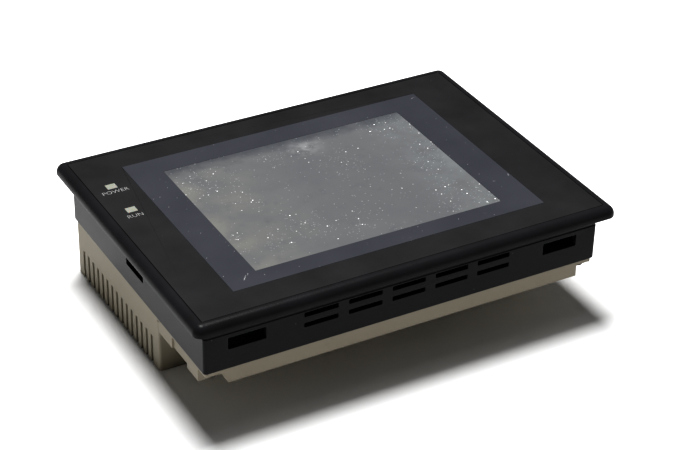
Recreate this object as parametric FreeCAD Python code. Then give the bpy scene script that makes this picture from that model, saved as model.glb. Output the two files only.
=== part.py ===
from FreeCAD import Vector
import Part

# Flush-mounted operator panel with a touch screen. Millimetres.
# +X runs to the right of the screen, +Y to its top edge, +Z out of the screen.
# The origin is the middle of the rear face that the panel stands on when it lies face up.

# ---- Front bezel
bezel_w = 195.0            # flange, side to side
bezel_h = 142.0            # flange, bottom edge to top edge
depth = 54.0               # front face to rear face
flange_t = 4.8
flange_edge_r = 3.8        # rounding of the flange's front edge
flange_corner_r = 4.0
overhang = 5.75            # flange past the skirt, the part that rests on the control panel
skirt_wall = 2.5
skirt_len = 26.5           # front face to the end of the skirt
skirt_corner_r = 1.5
band_step = 0.25           # the skirt's front band is this much slimmer
band_len = 10.2            # front face to the end of that band
face_t = 2.4               # front plate behind the overlay

# ---- Clamp slots and skirt vents
slot_l = 16.4
slot_h = 5.1
slot_drop = 14.75          # front face to the middle of a slot
slot_inset = 24.5          # flange side to the middle of a slot in the long walls
vent_n = 5
vent_pitch = 20.1
vent_l = 15.2
vent_h = 1.8
vent_drop = 11.95          # front face to the middle of the first row
vent_row_gap = 4.9

# ---- Overlay, indicator windows and touch panel
overlay_t = 0.5
overlay_sink = 0.1         # overlay's top below the flange's front face
overlay_inset = 4.45       # flange edge to the edge of the recess
overlay_gap = 0.25
window_w = 145.0           # grey touch area
window_h = 107.1
window_x = -0.6            # its middle
window_y = 0.1
sheet_gap = 0.05           # between sheets that lie in each other's cut-outs
recess_corner_r = 1.0
overlay_corner_r = 0.8
gasket_inset = 1.5         # gasket's edge inside the flange's
gasket_t = 1.0
gasket_corner_r = 3.0
lamp_w = 4.6               # indicator windows
lamp_h = 3.9
lamp_x = -83.5
lamp_power_y = 41.0
lamp_run_y = 20.3
lamp_ledge = 0.2           # bezel hole inside an indicator window
pipe_gap = 0.2             # light pipe inside that hole
pipe_lift = 1.6            # light pipe's foot above the LED board
led_w = 2.0
led_h = 1.4
led_t = 1.1
led_board_w = 4.8
led_board_over = 6.0       # board past the middle of a light
touch_margin = 3.0         # touch glass past the grey area
touch_t = 1.2
touch_gap = 0.3
tail_w = 12.0
tail_t = 0.2
tail_gap = 0.1             # tail to the cushion and to the bezel
tail_entry = 1.5           # tail's level above the main board at its socket
tail_run = 4.0             # last flat stretch into the socket
socket_side = 2.0          # sockets past their cables
socket_d = 4.0
socket_t = 3.0

# ---- Display module
active_w = 115.2           # 320 columns at 0.36
active_h = 86.4            # 240 rows at 0.36
active_x = -1.2
active_y = -1.0
cell_margin = 4.0          # liquid crystal glass past the active area
cell_t = 2.0
diffuser_t = 0.5
guide_t = 3.6
lamp_tube_r = 1.3
lcd_w = 158.0
lcd_h = 110.0
lcd_t = 8.0
lcd_skin = 0.6
view_margin = 1.0          # metal frame's opening past the active area
lamp_slack = 0.3           # lamp tube in its trough
holder_l = 3.0
holder_grip = 0.25
flex_w = 40.0
flex_up = 20.0             # display cable from the middle of the display
cushion_w = 5.0

# ---- Fasteners
screw_r = 1.5              # M3 shank
screw_head_r = 2.6
screw_head_t = 2.0
screw_slip = 0.2           # radial clearance in a through hole
boss_r = 3.0
pilot_gap = 0.02           # pilot hole outside the shank
rear_screw_inset = 10.9    # flange side to a corner screw
rear_screw_inset_y = 10.6  # flange's long edge to a corner screw
bracket_screw_x = 45.0
bracket_screw_inset = 11.4 # flange's long edge to a bracket screw
head_round = 0.8
cross_l = 3.0
cross_w = 0.6
cross_d = 1.1
bracket_screw_short = 1.0  # screw tip above the floor of its boss
rear_screw_bite = 11.0     # thread past the case's lip
spacer_r = 2.6
spacer_inset = 5.0         # post from the corner of the main board

# ---- Boards
bracket_t = 1.0
bracket_side = 3.0         # bracket to the skirt's inner faces
bracket_edge = 0.75
bracket_notch = 14.0       # cut around a corner boss
flex_slot_h = 6.0
tail_notch_gap = 1.5
board_t = 1.6
board_drop = 12.0          # bracket to main board
main_board_clear = 5.2     # main board's edge to the skirt's inner face
link_h = 9.8               # main board to the interface and power boards
inverter_w = 90.0
inverter_h = 18.0
inverter_drop = 5.0
interface_x = -20.0        # left edge of the interface board
power_edge_x = -22.0       # right edge of the power board
bay_board_gap = 1.0        # boards to the battery bay's walls
main_edge_more = 1.4       # main board's long edges stand further in
board_top_inset = 8.0      # lower boards below the main board's top edge
power_board_gap = 1.0
port_board_gap = 0.5
inverter_up = 9.0          # inverter from the main board's bottom edge
inverter_post = 4.0        # post from the inverter's end
power_post_outer = 6.0     # lower posts from the edges of their boards
power_post_inner = 5.0
post_low = 9.0
post_high = 14.0
bay_post_gap = 9.0

# ---- Parts on the boards
coil_x = -16.0             # inverter transformer
coil_w = 18.0
coil_h = 13.0
coil_t = 4.2
coil_slot_w = 8.0
coil_slot_low = 1.2
coil_slot_high = 3.0
cpu_w = 28.0
cpu_t = 2.6
cpu_x = -22.0
cpu_up = 25.15             # main board's lower edge to the processor's middle
memory_n = 4
memory_w = 9.0
memory_h = 18.4
memory_t = 2.2
memory_x = 8.0
memory_up = 34.15          # and to the memory row's middle
memory_pitch = 13.0
driver_w = 20.0
driver_h = 14.0
driver_t = 2.4
driver_x = 62.0
driver_y = 32.0
buzzer_r = 6.0
buzzer_t = 4.5
buzzer_hole_r = 1.0
buzzer_hole_d = 2.0
buzzer_x = -60.0
buzzer_y = -20.0
link_w = 40.0              # connector between main and interface board
link_d = 5.0
link_x = 50.0
link_y = 8.0
mains_w = 24.0             # power transformer's core
mains_h = 20.0
mains_t = 12.0
winding_w = 16.0
winding_h = 26.0
winding_step = 2.0         # winding inside the core's height
mains_back = 22.0          # its middle from the back of the terminals
can_r = 5.0
can_l = 12.0
can_right = 22.0
can_left = 19.0

# ---- Rear case
case_inset = 0.85          # rear case's sides inside the skirt's
case_wall = 2.2
case_rim = 2.2             # height of the rim that meets the skirt
case_lip = 3.5             # locating lip inside the skirt
case_lip_t = 1.2
lip_gap = 0.15
shallow_z = 20.0           # rear face of the shallow part
shallow_inset = 0.9        # its sides inside the rim
bay_h = 50.5               # flange's bottom edge to the connector wall
notch_w = 7.3              # cut corners around the two lower screws
notch_h = 6.9
notch_slope = 3.4          # one notch has a sloped side
rib_w = 6.0                # two ribs a side bring the shallow part out to the rim
rib_a = 12.9               # length of the rib at the connector wall
rib_b_far = 26.8           # far rib, distance from the connector wall
rib_b_len = 10.7
rib_b_drop = 0.6
side_vent_n = 15
side_vent_pitch = 5.05
side_vent_w = 1.9
side_vent_top = 13.9
side_vent_wrap = 6.0       # vent's run across the rear face
side_vent_edge = 13.35     # flange's top edge to the middle of the first vent
well_gap = 0.3             # screw well outside a screw head
corner_r = 1.2             # case's upright corners
notch_wall = 0.6           # wall over the notches above the rim
well_wall = 1.4

# ---- Connector wall, from the middle of the case
port_z = 10.0
port_t = 1.2               # connector flange
port_shell_out = 5.9       # shell past its flange
port_9_x = 68.0
port_9_w = 30.8
port_9_pitch = 24.99
port_9_shell = 16.9
port_25_x = 21.5
port_25_w = 53.0
port_25_pitch = 47.04
port_25_shell = 38.9
port_h = 12.5
port_shell_h = 8.3
port_gap = 0.5             # wall cut-out around a shell
port_body_l = 11.0
port_body_side = 3.0       # body inside the connector flange
port_body_edge = 1.0
shell_lean = 0.9           # slope of the shell's short sides
shell_round = 1.6
pin_pitch = 2.77
pin_row = 1.42             # contact row from the middle
pin_r = 0.6
jack_r = 2.5
jack_bore_r = 1.25
jack_l = 4.8
jack_bore_l = 4.4
jack_wall = 0.35           # shank outside its thread
jack_slip = 0.4            # holes outside the thread
dip_n = 4
dip_pitch = 2.54
dip_x = -17.0
dip_h = 9.9
dip_t = 5.5
dip_sink = 1.5             # switch face below the wall's outer face
dip_nub_w = 1.2
dip_nub_h = 1.6
dip_travel = 2.0
dip_nub_out = 0.8
dip_foot_t = 1.2
dip_gap = 0.15
dip_side = 1.0             # body past the outer slots
dip_face_t = 1.0           # wall in front of the slider feet
dip_foot_side = 0.3
dip_foot_end = 0.4
dip_wall_gap = 0.3
reset_x = -34.0
reset_r = 2.4
reset_out = 0.8
reset_travel = 1.0
reset_collar = 0.9         # collar past the cap
reset_collar_t = 0.8
reset_gap = 0.3
reset_round = 0.4
reset_end_gap = 0.2        # pressed button to the switch behind it
key_w = 6.0                # switch behind the button
key_t = 2.5
switch_board_left = 5.0
switch_board_right = 2.0
switch_board_down = 7.0

# ---- Power terminals
pole_n = 3
pole_pitch = 8.5
barrier_t = 1.3
terminal_x = -60.0
terminal_d = 14.0          # block, front to back
terminal_base = 5.5
terminal_h = 12.5
terminal_sink = 1.5        # block's rear below the case's rear face
terminal_gap = 0.5
pole_screw_r = 1.6
pole_head_r = 2.7
pole_head_t = 1.8
pole_thread_l = 4.5
terminal_gap_y = 0.5       # block's face behind the connector wall's
terminal_back_t = 2.0      # block's rear wall
pole_cross_l = 3.2
pole_cross_w = 0.7
pole_cross_d = 1.0
pole_rest_gap = 0.02       # under a washer and under a screw head
thread_end_gap = 0.3
washer_w = 6.2
washer_t = 0.8
pole_gap = 0.1

# ---- Battery bay, expansion port and label
battery_r = 7.2
battery_l = 30.0
battery_slip = 0.05
battery_rib_t = 1.5
battery_bay_w = 42.0
battery_bay_h = 27.0
battery_bay_d = 17.4
battery_x = 55.0
battery_y = 40.0
cover_t = 1.8
cover_gap = 0.4
cover_ledge = 1.5
hinge_r = 1.2
hinge_pin_l = 1.6
cover_swing_gap = 0.3
catch_l = 8.0
catch_t = 1.2
catch_h = 3.5
catch_w = 6.0              # expansion cover's legs
hinge_pin_share = 0.7      # stub pin's radius over the barrel's
pin_slip = 0.05
pin_end_gap = 0.2
grip_w = 10.0
grip_h = 2.0
grip_d = 0.8
expansion_x = -2.0
expansion_y = 40.0
expansion_w = 44.0
expansion_h = 14.0
expansion_d = 8.6
expansion_plug_w = 34.0
expansion_plug_h = 6.0
expansion_plug_out = 1.2   # socket's face past the recess floor
plug_gap = 0.3
plug_n = 12
plug_pitch = 2.54
plug_hole_w = 0.9
plug_hole_d = 3.0
label_w = 62.0
label_h = 26.0
label_t = 0.2
label_sink = 0.15
label_gap = 0.2
label_x = -45.0
label_y = 13.0

# ---- Levels and outlines worked out from the sizes above
skirt_w = bezel_w - 2 * overhang
skirt_h = bezel_h - 2 * overhang
case_w = skirt_w - 2 * case_inset
case_h = skirt_h - 2 * case_inset
face_z = depth - overlay_sink - overlay_t
plate_z = face_z - face_t
skirt_z = depth - skirt_len
touch_z = face_z - touch_t
lcd_z = plate_z - lcd_t
bracket_z = lcd_z - bracket_t
main_z = bracket_z - board_drop - board_t
lower_z = main_z - link_h - board_t
wall_y = bay_h - bezel_h / 2
wall_in_y = wall_y + case_wall
inner_x = skirt_w / 2 - skirt_wall
inner_y = skirt_h / 2 - skirt_wall
slot_z = depth - slot_drop
rear_screw_x = bezel_w / 2 - rear_screw_inset
rear_screw_y = bezel_h / 2 - rear_screw_inset_y
bracket_screw_y = bezel_h / 2 - bracket_screw_inset
main_x = inner_x - main_board_clear
main_y = inner_y - main_board_clear - main_edge_more
switch_y = wall_y + dip_sink + dip_t


def block(x0, x1, y0, y1, z0, z1):
    """Box between two corners."""
    return Part.makeBox(x1 - x0, y1 - y0, z1 - z0, Vector(x0, y0, z0))


def plate(w, h, z0, z1, x=0.0, y=0.0):
    """Box centred on x, y."""
    return block(x - w / 2, x + w / 2, y - h / 2, y + h / 2, z0, z1)


def rod(r, length, at, axis=Vector(0, 0, 1)):
    return Part.makeCylinder(r, length, Vector(*at), axis)


def along(shape, axis):
    """Straight edges of the shape that run along the axis."""
    found = []
    for edge in shape.Edges:
        if isinstance(edge.Curve, Part.Line) and abs(edge.Curve.Direction.dot(axis)) > 0.999:
            found.append(edge)
    return found


def round_uprights(shape, r):
    return shape.makeFillet(r, along(shape, Vector(0, 0, 1)))


def frame(w, h, border, z0, z1, x=0.0, y=0.0):
    """Flat ring with a rectangular hole."""
    return plate(w, h, z0, z1, x, y).cut(plate(w - 2 * border, h - 2 * border, z0, z1, x, y))


def corners(x, y):
    return [(sx * x, sy * y) for sx in (-1, 1) for sy in (-1, 1)]


def save(name, shapes):
    """Write one node. Several shapes stay separate solids in it."""
    solids = shapes if isinstance(shapes, list) else [shapes]
    solids = [solid.removeSplitter() for solid in solids]
    shape = solids[0] if len(solids) == 1 else Part.makeCompound(solids)
    shape.exportStep("parts/" + name + ".step")


# ---- Front bezel: flange, skirt, slots, vents and bosses
def flange():
    body = round_uprights(plate(bezel_w, bezel_h, depth - flange_t, depth), flange_corner_r)
    front = [e for e in body.Edges if all(abs(v.Z - depth) < 1e-6 for v in e.Vertexes)]
    return body.makeFillet(flange_edge_r, front)


def skirt():
    outer = round_uprights(plate(skirt_w, skirt_h, skirt_z, depth - band_len), skirt_corner_r)
    band_w = skirt_w - 2 * band_step
    band_h = skirt_h - 2 * band_step
    band = round_uprights(plate(band_w, band_h, depth - band_len, depth - flange_t), skirt_corner_r)
    return outer.fuse(band)


def clamp_slots():
    """Cutters for the slots that the mounting clamps hook into."""
    reach = skirt_wall + 2 * case_inset
    long_x = bezel_w / 2 - slot_inset
    cutters = []
    for x in (-long_x, long_x):
        for side in (-1, 1):
            cutters.append(plate(slot_l, reach, slot_z - slot_h / 2, slot_z + slot_h / 2,
                                 x, side * (skirt_h / 2 - skirt_wall / 2)))
    for side in (-1, 1):
        cutters.append(plate(reach, slot_l, slot_z - slot_h / 2, slot_z + slot_h / 2,
                             side * (skirt_w / 2 - skirt_wall / 2), 0))
    return cutters


def skirt_vents():
    cutters = []
    for row in range(2):
        z = depth - vent_drop - row * vent_row_gap
        for column in range(vent_n):
            x = (column - (vent_n - 1) / 2) * vent_pitch
            for side in (-1, 1):
                y = side * (skirt_h / 2 - skirt_wall / 2)
                cutters.append(plate(vent_l, 2 * skirt_wall, z - vent_h / 2, z + vent_h / 2, x, y))
    return cutters


def bezel_bosses():
    """Posts behind the front plate, with pilot holes, for the bracket and the rear case."""
    low = skirt_z + case_lip + lip_gap
    posts = [rod(boss_r, plate_z - low, (x, y, low)) for x, y in corners(rear_screw_x, rear_screw_y)]
    posts += [rod(boss_r, plate_z - lcd_z, (x, y, lcd_z))
              for x, y in corners(bracket_screw_x, bracket_screw_y)]
    return posts


def pilot_holes():
    low = skirt_z + case_lip + lip_gap
    r = screw_r + pilot_gap
    holes = [rod(r, plate_z - low, (x, y, low)) for x, y in corners(rear_screw_x, rear_screw_y)]
    holes += [rod(r, plate_z - lcd_z, (x, y, lcd_z))
              for x, y in corners(bracket_screw_x, bracket_screw_y)]
    return holes


def lamp_holes():
    w = lamp_w - 2 * lamp_ledge
    h = lamp_h - 2 * lamp_ledge
    return [plate(w, h, plate_z, depth, lamp_x, y) for y in (lamp_power_y, lamp_run_y)]


def front_bezel():
    cavity = plate(2 * inner_x, 2 * inner_y, skirt_z, plate_z)
    recess_w = bezel_w - 2 * overlay_inset
    recess_h = bezel_h - 2 * overlay_inset
    recess = round_uprights(plate(recess_w, recess_h, face_z, depth), recess_corner_r)
    hole_w = window_w + 2 * (touch_margin + touch_gap)
    hole_h = window_h + 2 * (touch_margin + touch_gap)
    opening = plate(hole_w, hole_h, plate_z, depth, window_x, window_y)
    body = flange().fuse(skirt()).cut([cavity, recess, opening])
    body = body.fuse(bezel_bosses())
    return body.cut(pilot_holes() + clamp_slots() + skirt_vents() + lamp_holes())


def panel_gasket():
    """Sealing frame in the corner between flange and skirt."""
    top = depth - flange_t
    low = top - gasket_t
    outer = plate(bezel_w - 2 * gasket_inset, bezel_h - 2 * gasket_inset, low, top)
    w = skirt_w - 2 * band_step + 2 * sheet_gap
    h = skirt_h - 2 * band_step + 2 * sheet_gap
    return round_uprights(outer, gasket_corner_r).cut(plate(w, h, low, top))


# ---- Overlay and touch panel
def overlay_sheet():
    w = bezel_w - 2 * (overlay_inset + overlay_gap)
    h = bezel_h - 2 * (overlay_inset + overlay_gap)
    top = face_z + overlay_t
    sheet = round_uprights(plate(w, h, face_z, top), overlay_corner_r)
    cuts = [plate(window_w, window_h, face_z, top, window_x, window_y)]
    for y in (lamp_power_y, lamp_run_y):
        cuts.append(plate(lamp_w, lamp_h, face_z, top, lamp_x, y))
    return sheet.cut(cuts)


def indicator_window(y):
    w = lamp_w - 2 * sheet_gap
    h = lamp_h - 2 * sheet_gap
    return plate(w, h, face_z, face_z + overlay_t, lamp_x, y)


def touch_film():
    w = window_w - 2 * sheet_gap
    h = window_h - 2 * sheet_gap
    return plate(w, h, face_z, face_z + overlay_t, window_x, window_y)


def touch_glass():
    w = window_w + 2 * touch_margin
    h = window_h + 2 * touch_margin
    return plate(w, h, touch_z, face_z, window_x, window_y)


def cushion_h():
    return min(window_h + 2 * touch_margin, lcd_h - 2 * lcd_skin)


def display_cushion():
    w = min(window_w + 2 * touch_margin, lcd_w)
    return frame(w, cushion_h(), cushion_w, plate_z, touch_z, window_x, window_y)


def tail_out():
    return window_y + window_h / 2 + touch_margin + touch_gap - tail_gap


def touch_tail():
    """Flat lead from the touch glass, past the display, to its socket on the main board."""
    x1 = window_x + window_w / 2 - tail_w
    x0 = x1 - tail_w
    out = tail_out()
    start = window_y + cushion_h() / 2 + tail_gap
    board_top = main_z + board_t
    socket_y = min(out, main_y) - tail_run
    entry_z = board_top + tail_entry
    top = block(x0, x1, start, out, touch_z - tail_t, touch_z)
    drop = block(x0, x1, out - tail_t, out, entry_z, touch_z)
    entry = block(x0, x1, socket_y, out, entry_z, entry_z + tail_t)
    socket = block(x0 - socket_side, x1 + socket_side, socket_y - socket_d, socket_y,
                   board_top, board_top + socket_t)
    return [top.fuse([drop, entry]), socket]


# ---- Indicators
def light_pipes():
    w = lamp_w - 2 * (lamp_ledge + pipe_gap)
    h = lamp_h - 2 * (lamp_ledge + pipe_gap)
    foot = lcd_z + board_t + pipe_lift
    return [plate(w, h, foot, face_z, lamp_x, y) for y in (lamp_power_y, lamp_run_y)]


def led_board():
    return block(lamp_x - led_board_w / 2, lamp_x + led_board_w / 2, lamp_run_y - led_board_over,
                 lamp_power_y + led_board_over, lcd_z, lcd_z + board_t)


def status_leds():
    z = lcd_z + board_t
    return [plate(led_w, led_h, z, z + led_t, lamp_x, y) for y in (lamp_power_y, lamp_run_y)]


# ---- Display module: metal frame, tray, glass, diffuser, light guide and lamp
def lcd_frame():
    shell = plate(lcd_w, lcd_h, lcd_z, plate_z, active_x, active_y)
    inside = plate(lcd_w - 2 * lcd_skin, lcd_h - 2 * lcd_skin, lcd_z, plate_z - lcd_skin,
                   active_x, active_y)
    view = plate(active_w + 2 * view_margin, active_h + 2 * view_margin, lcd_z, plate_z,
                 active_x, active_y)
    return shell.cut([inside, view])


def lcd_tray():
    top = plate_z - lcd_skin
    w = lcd_w - 2 * (lcd_skin + sheet_gap)
    h = lcd_h - 2 * (lcd_skin + sheet_gap)
    body = plate(w, h, lcd_z, top, active_x, active_y)
    pocket_w = active_w + 2 * (cell_margin + sheet_gap)
    pocket_h = active_h + 2 * (cell_margin + sheet_gap)
    floor = top - cell_t - diffuser_t - guide_t
    pocket = plate(pocket_w, pocket_h, floor, top, active_x, active_y)
    trough = 2 * (lamp_tube_r + lamp_slack)
    low_y = active_y - pocket_h / 2
    channel = block(active_x - pocket_w / 2, active_x + pocket_w / 2, low_y - trough, low_y, floor,
                    floor + guide_t)
    return body.cut([pocket, channel])


def cell_sheet(z1, t):
    """Sheet of the display's stack, as wide as its glass."""
    w = active_w + 2 * cell_margin
    h = active_h + 2 * cell_margin
    return plate(w, h, z1 - t, z1, active_x, active_y)


def backlight_lamp():
    top = plate_z - lcd_skin
    z = top - cell_t - diffuser_t - guide_t / 2
    y = active_y - active_h / 2 - cell_margin - sheet_gap - lamp_tube_r - lamp_slack
    length = active_w + cell_margin
    tube = rod(lamp_tube_r, length, (active_x - length / 2, y, z), Vector(1, 0, 0))
    grip = 2 * (lamp_tube_r + holder_grip)
    holders = [plate(holder_l, grip, z - guide_t / 2, z + guide_t / 2, active_x + side * length / 2, y)
               for side in (-1, 1)]
    return [tube] + [holder.cut(tube) for holder in holders]


def lcd_flex():
    """Folded flat cable from the display's tray, through the bracket, to the main board."""
    base = main_z + board_t
    top = plate(flex_w, tail_t, base + socket_t, lcd_z, active_x, lcd_flex_y())
    socket = plate(flex_w + 2 * socket_side, socket_d, base, base + socket_t, active_x, lcd_flex_y())
    return [top, socket]


def lcd_flex_y():
    return active_y + flex_up


# ---- Bracket and its fasteners
def display_bracket():
    w = 2 * (inner_x - bracket_side)
    h = 2 * (inner_y - bracket_edge)
    body = plate(w, h, bracket_z, lcd_z)
    cuts = [plate(bracket_notch, bracket_notch, bracket_z, lcd_z, x, y)
            for x, y in corners(rear_screw_x, rear_screw_y)]
    r = screw_r + screw_slip
    for x, y in corners(bracket_screw_x, bracket_screw_y):
        cuts.append(rod(r, bracket_t, (x, y, bracket_z)))
    cuts.append(plate(flex_w + 2 * socket_side, flex_slot_h, bracket_z, lcd_z, active_x, lcd_flex_y()))
    x = window_x + window_w / 2 - 1.5 * tail_w
    notch_y = min(bracket_screw_y - boss_r, tail_out() - tail_t) - tail_notch_gap
    cuts.append(block(x - tail_w, x + tail_w, notch_y, h / 2, bracket_z, lcd_z))
    return body.cut(cuts)


def pan_screw(x, y, seat, length):
    """Screw whose head hangs below its seat, with a cross recess."""
    low = seat - screw_head_t
    head = rod(screw_head_r, screw_head_t, (x, y, low))
    rim = [e for e in head.Edges if abs(e.CenterOfMass.z - low) < 1e-6 and isinstance(e.Curve, Part.Circle)]
    head = head.makeFillet(head_round, rim)
    cross = [plate(cross_l, cross_w, low, low + cross_d, x, y),
             plate(cross_w, cross_l, low, low + cross_d, x, y)]
    return head.fuse(rod(screw_r, length, (x, y, seat))).cut(cross)


def bracket_screws():
    length = bracket_t + lcd_t - bracket_screw_short
    return [pan_screw(x, y, bracket_z, length) for x, y in corners(bracket_screw_x, bracket_screw_y)]


def rear_screws():
    seat = skirt_z - case_rim
    length = case_rim + case_lip + rear_screw_bite
    return [pan_screw(x, y, seat, length) for x, y in corners(rear_screw_x, rear_screw_y)]


def spacer_spots():
    return corners(main_x - spacer_inset, main_y - spacer_inset)


def inverter_y():
    return -main_y + inverter_h / 2 + inverter_up


def board_spacers():
    """Posts from bracket to main board, bracket to inverter, and main board to lower boards."""
    posts = [rod(spacer_r, board_drop, (x, y, main_z + board_t)) for x, y in spacer_spots()]
    for side in (-1, 1):
        x = side * (inverter_w / 2 - inverter_post)
        posts.append(rod(spacer_r, inverter_drop, (x, inverter_y(), bracket_z - inverter_drop)))
    power_xs = (-main_x + power_post_outer, power_edge_x - power_post_inner)
    left_x = interface_x + power_post_outer
    low_y = wall_in_y + post_low
    high_y = main_y - post_high
    for x in power_xs + (left_x, main_x - power_post_outer):
        posts.append(rod(spacer_r, link_h, (x, low_y, main_z - link_h)))
    for x in power_xs + (left_x, battery_x - battery_bay_w / 2 - bay_post_gap):
        posts.append(rod(spacer_r, link_h, (x, high_y, main_z - link_h)))
    return posts


# ---- Boards and what they carry
def board(x0, x1, y0, y1, z):
    return block(x0, x1, y0, y1, z, z + board_t)


def inverter_board():
    z = bracket_z - inverter_drop - board_t
    return plate(inverter_w, inverter_h, z, z + board_t, 0, inverter_y())


def inverter_transformer():
    z = bracket_z - inverter_drop
    core = plate(coil_w, coil_h, z, z + coil_t, coil_x, inverter_y())
    slot = plate(coil_slot_w, 2 * coil_h, z + coil_slot_low, z + coil_slot_high, coil_x, inverter_y())
    return core.cut(slot)


def main_board():
    return board(-main_x, main_x, -main_y, main_y, main_z)


def main_chips():
    """Processor, memory and driver packages on the rear of the main board."""
    chips = [plate(cpu_w, cpu_w, main_z - cpu_t, main_z, cpu_x, cpu_up - main_y)]
    for column in range(memory_n):
        x = memory_x + memory_pitch * column
        chips.append(plate(memory_w, memory_h, main_z - memory_t, main_z, x, memory_up - main_y))
    chips.append(plate(driver_w, driver_h, main_z - driver_t, main_z, driver_x, driver_y))
    return chips


def buzzer():
    at = (buzzer_x, buzzer_y, main_z - buzzer_t)
    return rod(buzzer_r, buzzer_t, at).cut(rod(buzzer_hole_r, buzzer_hole_d, at))


def stacking_connector():
    """Pin strip that joins the main board to the interface board."""
    return plate(link_w, link_d, main_z - link_h, main_z, link_x, link_y)


def interface_board():
    """Carries the ports, and is cut away around the battery bay."""
    low_y = wall_in_y + port_t + port_board_gap
    body = board(interface_x, main_x, low_y, main_y - board_top_inset, lower_z)
    gap = 2 * (case_wall + bay_board_gap)
    return body.cut(plate(battery_bay_w + gap, battery_bay_h + gap, lower_z, lower_z + board_t,
                          battery_x, battery_y))


def power_board():
    return board(-main_x, power_edge_x, wall_in_y + power_board_gap, main_y - board_top_inset, lower_z)


def power_transformer():
    z = lower_z - mains_t
    y = terminal_back_y() + mains_back
    core = plate(mains_w, mains_h, z, lower_z, terminal_x, y)
    return core.fuse(plate(winding_w, winding_h, z + winding_step, lower_z - winding_step, terminal_x, y))


def power_capacitors():
    y = terminal_back_y() + mains_back
    xs = (terminal_x + can_right, terminal_x - can_left)
    return [rod(can_r, can_l, (x, y, lower_z - can_l)) for x in xs]


# ---- Serial ports on the connector wall
def d_shell(x, w, h, y0, y1):
    """Trapezoid outline of a D-shaped connector shell, wide side to the front."""
    z0 = port_z - h / 2
    z1 = port_z + h / 2
    outline = [Vector(x - w / 2 + shell_lean, y0, z0), Vector(x + w / 2 - shell_lean, y0, z0),
               Vector(x + w / 2, y0, z1), Vector(x - w / 2, y0, z1)]
    face = Part.Face(Part.makePolygon(outline + outline[:1]))
    prism = face.extrude(Vector(0, y1 - y0, 0))
    return prism.makeFillet(shell_round, along(prism, Vector(0, 1, 0)))


def port_holes(x, pins, y0, y1):
    """Contact holes in two rows, the longer row to the front."""
    holes = []
    for row, count in ((1, (pins + 1) // 2), (-1, pins // 2)):
        for i in range(count):
            px = x + (i - (count - 1) / 2) * pin_pitch
            holes.append(rod(pin_r, y1 - y0, (px, y0, port_z + row * pin_row), Vector(0, 1, 0)))
    return holes


def serial_port(x, pins, flange_w, pitch, shell_w):
    face_y = wall_in_y + port_t
    flange_plate = block(x - flange_w / 2, x + flange_w / 2, wall_in_y, face_y,
                         port_z - port_h / 2, port_z + port_h / 2)
    tip = wall_in_y - port_shell_out
    shell = d_shell(x, shell_w, port_shell_h, tip, wall_in_y)
    half = flange_w / 2 - port_body_side
    body = block(x - half, x + half, face_y, face_y + port_body_l,
                 port_z - port_h / 2 + port_body_edge, lower_z)
    solid = flange_plate.fuse([shell, body])
    screw_holes = []
    for side in (-1, 1):
        at = (x + side * pitch / 2, wall_in_y, port_z)
        screw_holes.append(rod(jack_bore_r + jack_slip, port_t, at, Vector(0, 1, 0)))
    return solid.cut(port_holes(x, pins, tip, wall_in_y) + screw_holes)


def port_jackscrews():
    """Hexagonal posts that hold the ports to the wall and take the plugs' screws."""
    screws = []
    for x, pitch in ((port_9_x, port_9_pitch), (port_25_x, port_25_pitch)):
        for side in (-1, 1):
            px = x + side * pitch / 2
            hexagon = Part.makePolygon([Vector(px + jack_r * c, wall_y - jack_l, port_z + jack_r * s)
                                        for c, s in hexagon_points()])
            head = Part.Face(hexagon).extrude(Vector(0, jack_l, 0))
            shank = rod(jack_bore_r + jack_wall, case_wall + port_t, (px, wall_y, port_z), Vector(0, 1, 0))
            bore = rod(jack_bore_r, jack_bore_l, (px, wall_y - jack_l, port_z), Vector(0, 1, 0))
            screws.append(head.fuse(shank).cut(bore))
    return screws


def hexagon_points():
    half = 0.5
    tall = 3 ** 0.5 / 2
    points = [(1, 0), (half, tall), (-half, tall), (-1, 0), (-half, -tall), (half, -tall)]
    return points + points[:1]


# ---- Selector switches and reset button on a small upright board
def dip_w():
    return dip_n * dip_pitch + 2 * dip_side


def dip_slots():
    return [dip_x + (i - (dip_n - 1) / 2) * dip_pitch for i in range(dip_n)]


def dip_low_z():
    """Lower end of a slider at rest."""
    return port_z - dip_travel / 2 - dip_nub_h / 2


def dip_switch():
    y0 = wall_y + dip_sink
    body = block(dip_x - dip_w() / 2, dip_x + dip_w() / 2, y0, switch_y,
                 port_z - dip_h / 2, port_z + dip_h / 2)
    cuts = []
    low = dip_low_z() - dip_gap
    high = dip_low_z() + dip_nub_h + dip_travel + dip_gap
    for x in dip_slots():
        half = dip_nub_w / 2 + dip_gap
        foot_y = y0 + dip_face_t
        cuts.append(block(x - half, x + half, y0, foot_y, low, high))
        half += dip_foot_side
        cuts.append(block(x - half, x + half, foot_y, foot_y + dip_foot_t + 2 * dip_gap,
                          low - dip_foot_end, high + dip_foot_end))
    return body.cut(cuts)


def dip_slider(x):
    y0 = wall_y + dip_sink
    low = dip_low_z()
    foot_y = y0 + dip_face_t + dip_gap
    nub = block(x - dip_nub_w / 2, x + dip_nub_w / 2, y0 - dip_nub_out, foot_y, low, low + dip_nub_h)
    half = dip_nub_w / 2 + dip_foot_side
    foot = block(x - half, x + half, foot_y, foot_y + dip_foot_t,
                 low - dip_foot_end, low + dip_nub_h + dip_foot_end)
    return nub.fuse(foot)


def reset_button():
    """Round cap through the wall, with a collar that keeps it in."""
    y0 = wall_y - reset_out
    collar_y = wall_in_y + reset_gap
    end = switch_y - key_t - reset_travel - reset_end_gap
    cap = rod(reset_r, end - y0, (reset_x, y0, port_z), Vector(0, 1, 0))
    cap = cap.makeFillet(reset_round, [e for e in cap.Edges if abs(e.CenterOfMass.y - y0) < 1e-6])
    collar = rod(reset_r + reset_collar, reset_collar_t, (reset_x, collar_y, port_z), Vector(0, 1, 0))
    return cap.fuse(collar)


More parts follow.
